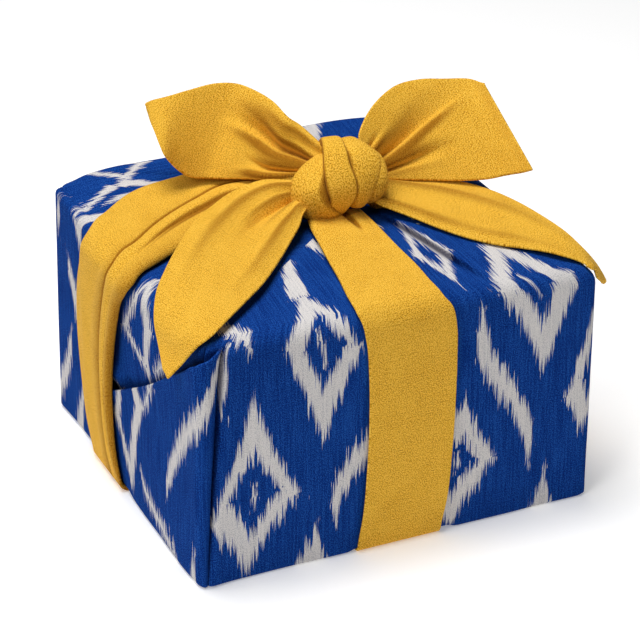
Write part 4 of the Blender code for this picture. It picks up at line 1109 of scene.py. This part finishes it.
# where a strip's columns lie across it, and the height of its rolls there: v runs -1 to 1 over a
# roll, columns close at its creases, and the roll is an arch, (1 - |v|^p)^wall, over its dips
def rollProfile(strip, place):
    rows = strip["rows"]
    names = ("low", "crease1", "crease2", "crease3", "high")
    lines = [rowsAt(rows, "leg", place, name)[:, None] for name in names]
    nothing = np.zeros((len(place), 1))
    dips = [nothing] + [rowsAt(rows, "leg", place, "dip%d" % i)[:, None] for i in (1, 2, 3)] + [nothing]
    v = -np.cos(np.pi * np.arange(sash["rollSteps"]) / sash["rollSteps"])[None]
    spots, heights = [], []
    for i, (wallLow, wallHigh) in enumerate(strip["walls"]):
        share = 0.5 * (v + 1.0)
        arch = (1.0 - np.abs(v) ** sash["power"]) ** np.where(v < 0.0, wallLow, wallHigh)
        base = dips[i] + (dips[i + 1] - dips[i]) * share
        roll = rowsAt(rows, "leg", place, "roll%d" % (i + 1))[:, None]
        spots.append(lines[i] + (lines[i + 1] - lines[i]) * share)
        heights.append(base + (roll - base) * arch)
    return np.hstack(spots + [lines[4]]), np.hstack(heights + [nothing])


# middle surface of a strip: its rounded path round the wrap, carried across its width; the one that
# runs left and right is raised over the other where they cross underneath
def stripGrid(strip, place, run, rise):
    rows, alongX = strip["rows"], strip["alongX"]
    half = wrap["halfX"] if alongX else wrap["halfY"]
    otherHalf = wrap["halfY"] if alongX else wrap["halfX"]
    topR = np.where(run < 0.0, strip["radii"][0], strip["radii"][1])
    shoulder, foot = wrap["top"] - topR, wrap["bottom"] + wrap["bottomRadius"]
    radius = np.where(rise > wrap["midZ"], topR, wrap["bottomRadius"])
    innerRun = np.clip(run, -(half - radius), half - radius)
    innerRise = np.clip(rise, foot, shoulder)
    size = np.hypot(run - innerRun, rise - innerRise)
    aside, upward = ((run - innerRun) / size)[:, None], ((rise - innerRise) / size)[:, None]
    spot, profile = rollProfile(strip, place)
    rise2 = np.broadcast_to(rise[:, None], spot.shape)
    # on the sides it clears the wrap's bulge, and the flap where it crosses it
    towardsFlap = flap["lastY"] + sash["flapRamp"] + spot * np.sign(run)[:, None]
    sideways = sideBulge(spot / otherHalf, rise2) + sash["besideGap"] + strip["beside"]
    sideways = sideways + strip["overFlap"] * smoothStep(towardsFlap / sash["flapRamp"])
    if not alongX:
        sideways = sideways + backOut(spot, rise2) * (run > 0.0)[:, None]
    sideways = sideways * np.abs(aside)
    lift = rowsAt(rows, "leg", place, "lift")
    offset = (radius + sash["gap"] + 0.5 * sash["thickness"] + lift)[:, None] + profile
    out = innerRun[:, None] + aside * offset + np.sign(aside) * sideways
    up = innerRise[:, None] + upward * offset
    x, y = (out, spot) if alongX else (spot, out)
    up = up + np.maximum(upward, 0.0) * (topRelief(x, y) + sash["overGap"])
    if alongX:
        fromCentre = np.abs(run - wrap["recessX"])
        raised = ramp(sash["crossingHalf"] + sash["crossingRamp"] - fromCentre, 0.0, sash["crossingRamp"])
        up = up + (raised[:, None] * (sash["thickness"] + sash["crossingGap"])) * (upward < -0.999)
    return np.stack((x, y, up), -1)


# soft painted shade across a strip: it deepens over the third roll towards the middle crease, and over the
# first roll towards the low edge, each as a power of what is left of the roll; less on the top
def softShade(strip, place):
    count = sash["rollSteps"]
    left = 0.5 * (1.0 + np.cos(np.pi * np.arange(count) / count))
    across = np.zeros(4 * count + 1)
    across[2 * count:3 * count] = strip["creaseShade"] * left ** sash["creaseFall"]
    across[:count] = strip["edgeShade"] * left ** sash["edgeFall"]
    downSide = ramp(place, 0.8, 1.2)
    return across[None] * (sash["shadeOnTop"] + (1.0 - sash["shadeOnTop"]) * downSide)[:, None]


# a strip as a folded sheet, its outer side the one that faces up where it leaves the knot
def makeStrip(strip):
    half = wrap["halfX"] if strip["alongX"] else wrap["halfY"]
    place, run, rise = stripPath(half, strip["start"], strip["end"], strip["radii"])
    grid = stripGrid(strip, place, run, rise)
    normals = gridNormals(grid)
    onTop = len(grid) // 12  # a row about halfway from the knot to the first edge
    flip = bool((normals[onTop, :, 2]).mean() < 0.0)
    points, faces, source = thickSheet(grid, sash["thickness"], flip)
    uv = gridCloth(grid).reshape(-1, 2)[source[faces.ravel()]]
    piece = makePiece(strip["name"], points, faces.tolist(), uv, sashCotton, [strip["node"]])
    facing = normals * (-1.0 if flip else 1.0)
    # painted shade: where the cloth beside rises steeply above a point, and soft shade over the rolls
    hollow = shutInShadeOf(grid, facing, sash["shadeReach"], *sash["shadeSteep"])
    keepPaintedShade(piece, np.maximum(hollow, softShade(strip, place)).ravel()[source])
    return piece


sashFrontBack = makeStrip(frontBack)
sashLeftRight = makeStrip(leftRight)
print("sash strips made")


# a plan of what lies under the tails, in cells of 1 mm
restMap = dict(low=-125.0, size=250, reach=2)


# the highest surface over each cell, widened by the highest of the cells within reach
def makeRestMap(surfaces):
    size, low = restMap["size"], restMap["low"]
    heights = np.full((size, size), -1000.0)
    for spots in surfaces:
        i = np.clip((spots[:, 0] - low).astype(int), 0, size - 1)
        j = np.clip((spots[:, 1] - low).astype(int), 0, size - 1)
        np.maximum.at(heights, (i, j), spots[:, 2])
    reach = restMap["reach"]
    widened = heights.copy()
    for stepX in range(-reach, reach + 1):
        for stepY in range(-reach, reach + 1):
            if stepX ** 2 + stepY ** 2 <= reach ** 2 + 1:
                widened = np.maximum(widened, np.roll(heights, (stepX, stepY), (0, 1)))
    return widened


# height at plan points, blended between the four cells round each
def restHeight(heights, x, y):
    u = np.clip(x - restMap["low"] - 0.5, 0.0, restMap["size"] - 1.001)
    v = np.clip(y - restMap["low"] - 0.5, 0.0, restMap["size"] - 1.001)
    i, j = u.astype(int), v.astype(int)
    a, b = u - i, v - j
    i1, j1 = np.minimum(i + 1, restMap["size"] - 1), np.minimum(j + 1, restMap["size"] - 1)
    return ((1 - a) * (1 - b) * heights[i, j] + a * (1 - b) * heights[i1, j]
            + (1 - a) * b * heights[i, j1] + a * b * heights[i1, j1])


# a piece's points, in millimetres
def meshPoints(piece):
    co = np.zeros(len(piece.data.vertices) * 3, np.float32)
    piece.data.vertices.foreach_get("co", co)
    return co.reshape(-1, 3).astype(float) / mm


restHeights = makeRestMap([meshPoints(piece) for piece in (wrapBody, flapLeft, sashFrontBack, sashLeftRight)])

# places of a tail's low and high edge, from the knot to its tip
TailRow = namedtuple("TailRow", "lowX lowY lowZ highX highY highZ")
# a fold along a tail: where it lies across it at its root, halfway and at its end, its height
# towards the viewer, how wide it is on its low and its high side, and how far along it reaches
TailFold = namedtuple("TailFold", "root middle end height lowWidth highWidth reach")
tail = dict(thickness=1.3, clear=0.4, softness=1.0, rootShare=0.10, fadeShare=0.6, rootWidth=0.6,
            fullWidth=22.0, alongSteps=132, acrossSteps=81, shadeReach=5.0, shadeFull=1.1, grainStep=300.0)
tails = {
    "tailUpperLeft": dict(node="tail_upper_left", facing=1.0, flat=(0.062, 0.086), rows=[
        TailRow(9.0, 1.2, 150.0, 12.2, 8.3, 157.0),
        TailRow(1.2, 8.4, 147.5, 8.4, 11.5, 159.0),
        TailRow(-6.2, 16.4, 143.0, 3.7, 25.6, 164.0),
        TailRow(-15.9, 28.1, 139.0, -0.5, 31.2, 167.0),
        TailRow(-22.9, 38.9, 136.4, -2.2, 45.4, 170.0),
        TailRow(-30.0, 44.5, 135.5, -6.5, 57.5, 172.0),
        TailRow(-36.5, 49.3, 135.0, -12.3, 67.4, 173.0),
        TailRow(-44.6, 50.0, 137.0, -22.6, 70.8, 173.5),
        TailRow(-51.9, 49.7, 143.0, -35.3, 70.7, 172.5),
        TailRow(-58.1, 49.8, 152.0, -46.8, 70.9, 171.0),
        TailRow(-58.1, 62.2, 160.0, -54.3, 72.7, 169.5),
        TailRow(-56.4, 72.9, 164.0, -57.7, 72.7, 168.5),
    ], folds=[
        TailFold(0.24, 0.56, 0.70, -7.5, 0.09, 0.12, 0.62),
        TailFold(0.08, 0.14, 0.30, -5.5, 0.08, 0.05, 0.42),
        TailFold(0.02, 0.05, 0.10, 2.0, 0.06, 0.08, 0.50),
        TailFold(0.88, 0.88, 0.90, 2.2, 0.14, 0.12, 0.55),
    ]),
    "tailUpperRight": dict(node="tail_upper_right", facing=-1.0, flat=(0.056, 0.088), rows=[
        TailRow(18.6, -0.8, 148.0, 20.9, 4.2, 156.0),
        TailRow(28.9, -0.2, 144.0, 27.0, 8.2, 158.0),
        TailRow(39.1, 0.8, 140.0, 28.4, 11.9, 161.0),
        TailRow(50.9, -0.4, 138.0, 36.2, 19.8, 166.0),
        TailRow(63.7, -2.1, 136.0, 46.0, 26.9, 170.0),
        TailRow(75.2, -6.3, 135.5, 59.1, 33.9, 172.5),
        TailRow(85.5, -11.7, 136.5, 71.8, 34.0, 173.5),
        TailRow(94.4, -15.5, 138.5, 82.9, 29.9, 173.5),
        TailRow(99.6, -20.9, 141.0, 94.2, 26.1, 173.0),
        TailRow(103.2, -25.2, 143.5, 99.1, 18.5, 172.5),
    ], folds=[
        TailFold(0.30, 0.53, 0.98, -6.0, 0.035, 0.16, 0.92),
        TailFold(0.08, 0.26, 0.40, -4.5, 0.1, 0.04, 0.72),
        TailFold(0.60, 0.66, 0.74, -3.0, 0.05, 0.06, 0.38),
        TailFold(0.50, 0.60, 0.72, 1.5, 0.05, 0.06, 0.45),
    ]),
    "tailLowerLeft": dict(node="tail_lower_left", facing=-1.0, flat=(0.068, 0.150), rows=[
        TailRow(2.5, 2.1, 144.2, 2.9, -2.0, 139.3),
        TailRow(-9.1, 7.0, 145.4, -9.9, -9.0, 136.6),
        TailRow(-20.3, 17.7, 143.0, -17.2, -18.4, 134.0),
        TailRow(-35.4, 18.5, 139.5, -24.9, -25.9, 131.0),
        TailRow(-50.5, 10.1, 137.5, -35.2, -37.7, 129.5),
        TailRow(-63.4, 0.5, 135.5, -51.7, -56.5, 129.0),
        TailRow(-76.7, -15.0, 134.0, -66.3, -69.8, 128.5),
        TailRow(-89.0, -30.3, 131.5, -78.5, -80.3, 128.0),
        TailRow(-98.2, -42.0, 127.0, -90.9, -90.5, 127.0),
        TailRow(-104.1, -53.7, 120.5, -98.5, -90.2, 122.1),
        TailRow(-106.0, -62.6, 113.0, -103.7, -85.0, 112.5),
        TailRow(-109.7, -77.6, 107.0, -109.9, -83.6, 106.0),
    ], folds=[
        TailFold(0.42, 0.48, 0.50, -5.0, 0.07, 0.13, 0.46),
        TailFold(0.20, 0.22, 0.25, 2.5, 0.15, 0.12, 0.80),
        TailFold(0.80, 0.82, 0.85, 2.0, 0.1, 0.12, 0.70),
    ]),
    "tailRight": dict(node="tail_right", facing=1.0, flat=(0.056, 0.128), rows=[
        TailRow(22.4, 7.4, 145.0, 20.6, -7.7, 141.0),
        TailRow(36.9, 4.1, 140.5, 26.9, -12.3, 137.0),
        TailRow(53.1, 3.9, 136.5, 38.2, -22.9, 133.0),
        TailRow(67.5, 2.2, 134.0, 47.3, -37.8, 131.0),
        TailRow(79.9, -5.8, 132.0, 56.6, -50.8, 129.0),
        TailRow(87.6, -17.3, 131.0, 66.0, -61.1, 128.5),
        TailRow(93.4, -32.2, 130.0, 74.9, -68.3, 128.0),
        TailRow(96.8, -50.8, 129.5, 82.9, -76.1, 127.5),
        TailRow(99.0, -67.2, 128.5, 89.4, -84.5, 126.5),
        TailRow(101.1, -81.1, 125.0, 95.1, -89.7, 124.0),
        TailRow(107.2, -82.4, 117.0, 98.7, -94.1, 119.6),
        TailRow(112.8, -83.1, 107.5, 111.2, -83.0, 106.5),
    ], folds=[
        TailFold(0.35, 0.35, 0.40, 2.5, 0.2, 0.25, 0.90),
        TailFold(1.00, 1.00, 1.00, -2.5, 0.1, 0.1, 0.95),
    ]),
}


# middle surface: straight from the low edge to the high edge, each fold a bell across that fades
# along its reach, then kept clear above what it lies on
def tailGrid(spec):
    rows = spec["rows"]
    keys = np.arange(len(rows), dtype=float)
    places = np.linspace(0.0, keys[-1], tail["alongSteps"])
    table = np.array(rows, float)
    low = smoothAt(keys, table[:, :3], places)
    high = smoothAt(keys, table[:, 3:], places)
    share = (places / places[-1])[:, None]
    across = np.linspace(0.0, 1.0, tail["acrossSteps"])[None]
    width = np.linalg.norm(high - low, axis=1)[:, None]
    run = np.gradient(0.5 * (low + high), axis=0)
    facing = unit(np.cross(high - low, run)) * spec["facing"]
    height = np.zeros((tail["alongSteps"], tail["acrossSteps"]))
    for fold in spec["folds"]:
        along = np.clip(share / fold.reach, 0.0, 1.0)
        bend = 2.0 * (fold.root + fold.end) - 4.0 * fold.middle
        place = fold.root + (fold.end - fold.root - bend) * along + bend * along ** 2
        size = np.where(across < place, fold.lowWidth, fold.highWidth)
        size = size * (tail["rootWidth"] + (1.0 - tail["rootWidth"]) * along)
        fade = smoothStep((1.0 - along) / tail["fadeShare"]) * smoothStep(share / tail["rootShare"])
        room = np.clip(width / tail["fullWidth"], 0.0, 1.0)
        height = height + fold.height * bell(across - place, size) * fade * room
    grid = low[:, None] + (high - low)[:, None] * across[..., None] + facing[:, None] * height[..., None]
    floor = restHeight(restHeights, grid[..., 0], grid[..., 1]) + tail["clear"] + 0.5 * tail["thickness"]
    gap, soft = grid[..., 2] - floor, tail["softness"]
    closing = soft * np.exp(np.minimum(gap - soft, 0.0) / soft)
    grid[..., 2] = floor + np.where(gap > soft, gap, closing)
    return grid


# a tail as a gathered sheet, which starts at its own place in the grain
def makeTail(name, spec):
    grid = tailGrid(spec)
    points, faces, source = thickSheet(grid, tail["thickness"], flip=spec["facing"] > 0)
    cloth = gridCloth(grid).reshape(-1, 2) + tail["grainStep"] * (1 + len(name))
    uv = cloth[source[faces.ravel()]]
    piece = makePiece(name, points, faces.tolist(), uv, sashCotton, [spec["node"]])
    facing = gridNormals(grid) * (-1.0 if spec["facing"] > 0 else 1.0)
    # painted shade in the tail's hollows and creases
    keepPaintedShade(piece, hollowShadeOf(grid, facing, tail["shadeReach"], tail["shadeFull"]).ravel()[source])


for name, spec in tails.items():
    makeTail(name, spec)
print("tails made")

# the knot's turns of the sash, wound over each other
# rows go round a turn, over the top towards the front and down: its middle line in the knot's own
# directions (across to the right, up, out to the front), and its half width and half thickness
TurnRow = namedtuple("TurnRow", "across up out half thick")
knot = dict(x=14.6, y=2.0, z=145.0, turn=-24.6, pitch=27.25, alongSteps=140, roundSections=64,
            edgeShadeMost=0.9, edgeFrom=0.80, edgeRamp=0.18, grainStep=100.0)
turns = {
    "knotTurnLeft": dict(power=2.6, rows=[
        TurnRow(-6.0, 9.0, -3.0, 5.0, 3.0),
        TurnRow(-9.8, 6.2, 4.2, 6.4, 3.8),
        TurnRow(-13.6, 0.6, 8.4, 8.8, 4.7),
        TurnRow(-16.0, -7.2, 10.4, 10.6, 5.4),
        TurnRow(-13.2, -13.8, 9.8, 9.8, 5.2),
        TurnRow(-6.8, -16.8, 5.6, 7.0, 4.6),
        TurnRow(-2.8, -14.5, -2.5, 4.6, 3.6),
        TurnRow(-4.5, -5.5, -8.5, 5.0, 3.6),
        TurnRow(-6.0, 3.5, -8.5, 5.0, 3.2),
    ]),
    "knotTurnMiddle": dict(power=4.0, rows=[
        TurnRow(-6.4, 16.8, -2.0, 4.6, 2.4),
        TurnRow(-5.0, 16.2, 6.4, 5.0, 2.4),
        TurnRow(-3.6, 11.2, 12.8, 5.8, 2.4),
        TurnRow(-2.4, 3.0, 16.4, 6.6, 2.4),
        TurnRow(-0.4, -4.0, 16.8, 7.4, 2.4),
        TurnRow(0.2, -9.0, 15.0, 7.0, 2.4),
        TurnRow(-1.0, -13.4, 11.4, 5.0, 2.4),
        TurnRow(-2.2, -15.8, 6.4, 3.4, 2.2),
        TurnRow(-3.5, -13.0, -1.0, 3.5, 2.4),
        TurnRow(-4.5, -4.0, -8.0, 4.5, 3.0),
        TurnRow(-5.0, 6.0, -9.0, 4.5, 3.0),
        TurnRow(-6.5, 13.5, -7.0, 4.5, 2.8),
    ]),
    "knotTurnRight": dict(power=2.6, rows=[
        TurnRow(2.0, 16.4, -2.0, 5.0, 3.0),
        TurnRow(6.0, 12.8, 4.8, 7.2, 3.8),
        TurnRow(10.0, 7.4, 8.2, 9.2, 4.6),
        TurnRow(10.6, 0.2, 10.2, 7.8, 4.6),
        TurnRow(9.8, -6.0, 10.2, 5.4, 4.0),
        TurnRow(8.2, -10.6, 7.6, 4.4, 3.4),
        TurnRow(6.5, -12.0, 3.5, 3.8, 3.0),
        TurnRow(6.0, -7.0, -3.0, 4.4, 3.2),
        TurnRow(5.0, 3.0, -8.0, 5.0, 3.4),
        TurnRow(3.0, 12.5, -7.0, 5.0, 3.0),
    ]),
    "knotTurnOuter": dict(power=2.4, rows=[
        TurnRow(9.0, 12.0, -2.0, 5.0, 3.2),
        TurnRow(13.0, 8.6, 3.4, 6.0, 3.8),
        TurnRow(15.0, 3.5, 5.6, 6.6, 4.4),
        TurnRow(15.8, -2.5, 6.2, 6.4, 4.6),
        TurnRow(14.2, -7.2, 4.6, 5.6, 4.0),
        TurnRow(11.5, -9.0, 0.0, 4.6, 3.4),
        TurnRow(10.5, -4.0, -5.0, 4.4, 3.2),
        TurnRow(11.0, 3.0, -7.0, 4.4, 3.2),
        TurnRow(10.5, 9.0, -5.5, 4.6, 3.2),
    ]),
}


# unit vector out from the middle towards an azimuth from the front and a height, both in degrees
def direction(azimuth, pitch):
    azimuth, pitch = math.radians(azimuth), math.radians(pitch)
    level = math.cos(pitch)
    return np.array([math.sin(azimuth) * level, -math.cos(azimuth) * level, math.sin(pitch)])


# the knot's own directions: to the right, up and out to the front
def knotDirections():
    azimuth = math.radians(knot["turn"])
    right = np.array([math.cos(azimuth), math.sin(azimuth), 0.0])
    out = direction(knot["turn"], knot["pitch"])
    return right, np.cross(out, right), out


# grid of a closed turn: round its middle line, a flattened tube whose section is a squared-off
# ellipse, wide across the turn; with its middle line and each column's place across, -1 to 1
def turnGrid(spec):
    rows = np.array(spec["rows"], float)
    before, after = 3, 4  # rows repeated at each end, so that the cubic closes smoothly
    wrapped = np.concatenate((rows[-before:], rows, rows[:after]))
    keys = np.arange(len(wrapped), dtype=float) - before
    line = smoothAt(keys, wrapped, np.linspace(0.0, len(rows), knot["alongSteps"], endpoint=False))
    centre, half, thick = line[:, :3], line[:, 3], line[:, 4]
    along = unit(np.roll(centre, -1, 0) - np.roll(centre, 1, 0))
    outward = centre - centre.mean(0)
    outward = unit(outward - (outward * along).sum(-1, keepdims=True) * along)
    sideways = np.cross(along, outward)
    angle = np.linspace(0.0, 2.0 * math.pi, knot["roundSections"], endpoint=False)
    c, s = np.cos(angle), np.sin(angle)
    squareC = np.sign(c) * np.abs(c) ** (2.0 / spec["power"])
    squareS = np.sign(s) * np.abs(s) ** (2.0 / spec["power"])
    local = (centre[:, None] + sideways[:, None] * (half[:, None] * squareC)[..., None]
             + outward[:, None] * (thick[:, None] * squareS)[..., None])
    right, up, out = knotDirections()
    grid = local[..., 0:1] * right + local[..., 1:2] * up + local[..., 2:3] * out
    return grid + (knot["x"], knot["y"], knot["z"]), centre, squareC


# a turn as a gathered sheet rolled up on itself, with its cloth coordinates round and along it
def makeTurn(name, spec):
    grid, centre, squareC = turnGrid(spec)
    rowCount, cols = grid.shape[:2]
    quads = quadsOf(rowCount + 1, cols, closed=True) % (rowCount * cols)
    steps = np.linalg.norm(np.roll(centre, -1, 0) - centre, axis=1)
    lengths = np.concatenate(([0.0], np.cumsum(steps)))
    roundSteps = np.linalg.norm(np.roll(grid, -1, 1) - grid, axis=-1).mean(0)
    roundLengths = np.concatenate(([0.0], np.cumsum(roundSteps)))
    r = np.repeat(np.arange(rowCount), cols)
    around = np.tile(np.arange(cols), rowCount)
    faceV = lengths[np.stack((r, r, r + 1, r + 1), -1)]
    faceU = roundLengths[np.stack((around, around + 1, around + 1, around), -1)]
    faceNormal = np.cross(grid[0, 1] - grid[0, 0], grid[1, 0] - grid[0, 0])
    if float(faceNormal @ (grid[0, 0] - grid[0].mean(0))) < 0.0:
        quads, faceU, faceV = quads[:, ::-1], faceU[:, ::-1], faceV[:, ::-1]
    uv = np.column_stack((faceU.ravel(), faceV.ravel())) + knot["grainStep"] * len(name)
    points = grid.reshape(-1, 3)
    piece = makePiece(name, points, quads.tolist(), uv, sashCotton, ["knot"])
    # painted shade towards each turn's two edges, where the turns lie against each other
    nearEdge = smoothStep((np.abs(squareC) - knot["edgeFrom"]) / knot["edgeRamp"]) * knot["edgeShadeMost"]
    keepPaintedShade(piece, np.tile(nearEdge, rowCount))


for name, spec in turns.items():
    makeTurn(name, spec)
print("knot made")

view = dict(azimuth=-24.6, elevation=27.25, distance=1.272, aim=(0.0021, 0.0, 0.0716), lens=146.25,
            sensor=36.0)
studio = dict(floorSize=8.0, floorColour=(0.95, 0.95, 0.95), floorRoughness=0.9, floorShine=0.1,
              floorGlow=0.27, white=(1.0, 1.0, 1.0, 1.0), world=0.08, lightsAim=(0.0, 0.0, 0.06))
Light = namedtuple("Light", "name power size place")
lights = [
    Light("overheadLight", 19.8, 0.8, (-0.2, 0.15, 1.5)),
    Light("keyLight", 7.4, 0.6, (-1.1, -0.7, 1.2)),
    Light("fillLight", 1.8, 1.2, (0.9, -1.5, 0.7)),
]


# the camera: set back from its aim along its own direction, and turned to look along it
def makeCamera():
    camera = bpy.data.objects.new("camera", bpy.data.cameras.new("camera"))
    azimuth, elevation = math.radians(view["azimuth"]), math.radians(view["elevation"])
    camera.location = np.array(view["aim"]) + direction(view["azimuth"], view["elevation"]) * view["distance"]
    camera.rotation_euler = (math.pi / 2.0 - elevation, 0.0, azimuth)
    camera.data.lens = view["lens"]
    camera.data.sensor_width = view["sensor"]
    bpy.context.scene.collection.objects.link(camera)
    bpy.context.scene.camera = camera


# a square pale floor that glows a little, so that it stays nearly white
def makeFloor():
    half = 0.5 * studio["floorSize"]
    mesh = bpy.data.meshes.new("floor")
    mesh.from_pydata([(-half, -half, 0.0), (half, -half, 0.0), (half, half, 0.0), (-half, half, 0.0)], [],
                     [(0, 1, 2, 3)])
    material = bpy.data.materials.new("paleFloor")
    material.use_nodes = True
    shader = material.node_tree.nodes["Principled BSDF"]
    shader.inputs["Base Color"].default_value = (*studio["floorColour"], 1.0)
    shader.inputs["Roughness"].default_value = studio["floorRoughness"]
    shader.inputs["Specular IOR Level"].default_value = studio["floorShine"]
    shader.inputs["Emission Color"].default_value = studio["white"]
    shader.inputs["Emission Strength"].default_value = studio["floorGlow"]
    mesh.materials.append(material)
    floor = bpy.data.objects.new("floor", mesh)
    bpy.context.scene.collection.objects.link(floor)


# a square soft light at its place, turned to face the aim
def addLight(spec):
    light = bpy.data.lights.new(spec.name, "AREA")
    light.energy = spec.power
    light.size = spec.size
    lamp = bpy.data.objects.new(spec.name, light)
    lamp.location = spec.place
    x, y, z = np.array(spec.place) - np.array(studio["lightsAim"])
    lamp.rotation_euler = (math.atan2(math.hypot(x, y), z), 0.0, math.atan2(x, -y))
    bpy.context.scene.collection.objects.link(lamp)


makeCamera()
makeFloor()
for light in lights:
    addLight(light)
world = bpy.data.worlds.new("studio") if bpy.context.scene.world is None else bpy.context.scene.world
bpy.context.scene.world = world
world.use_nodes = True
world.node_tree.nodes["Background"].inputs["Color"].default_value = studio["white"]
world.node_tree.nodes["Background"].inputs["Strength"].default_value = studio["world"]
bpy.context.scene.view_settings.view_transform = "Standard"
print("camera and light made")
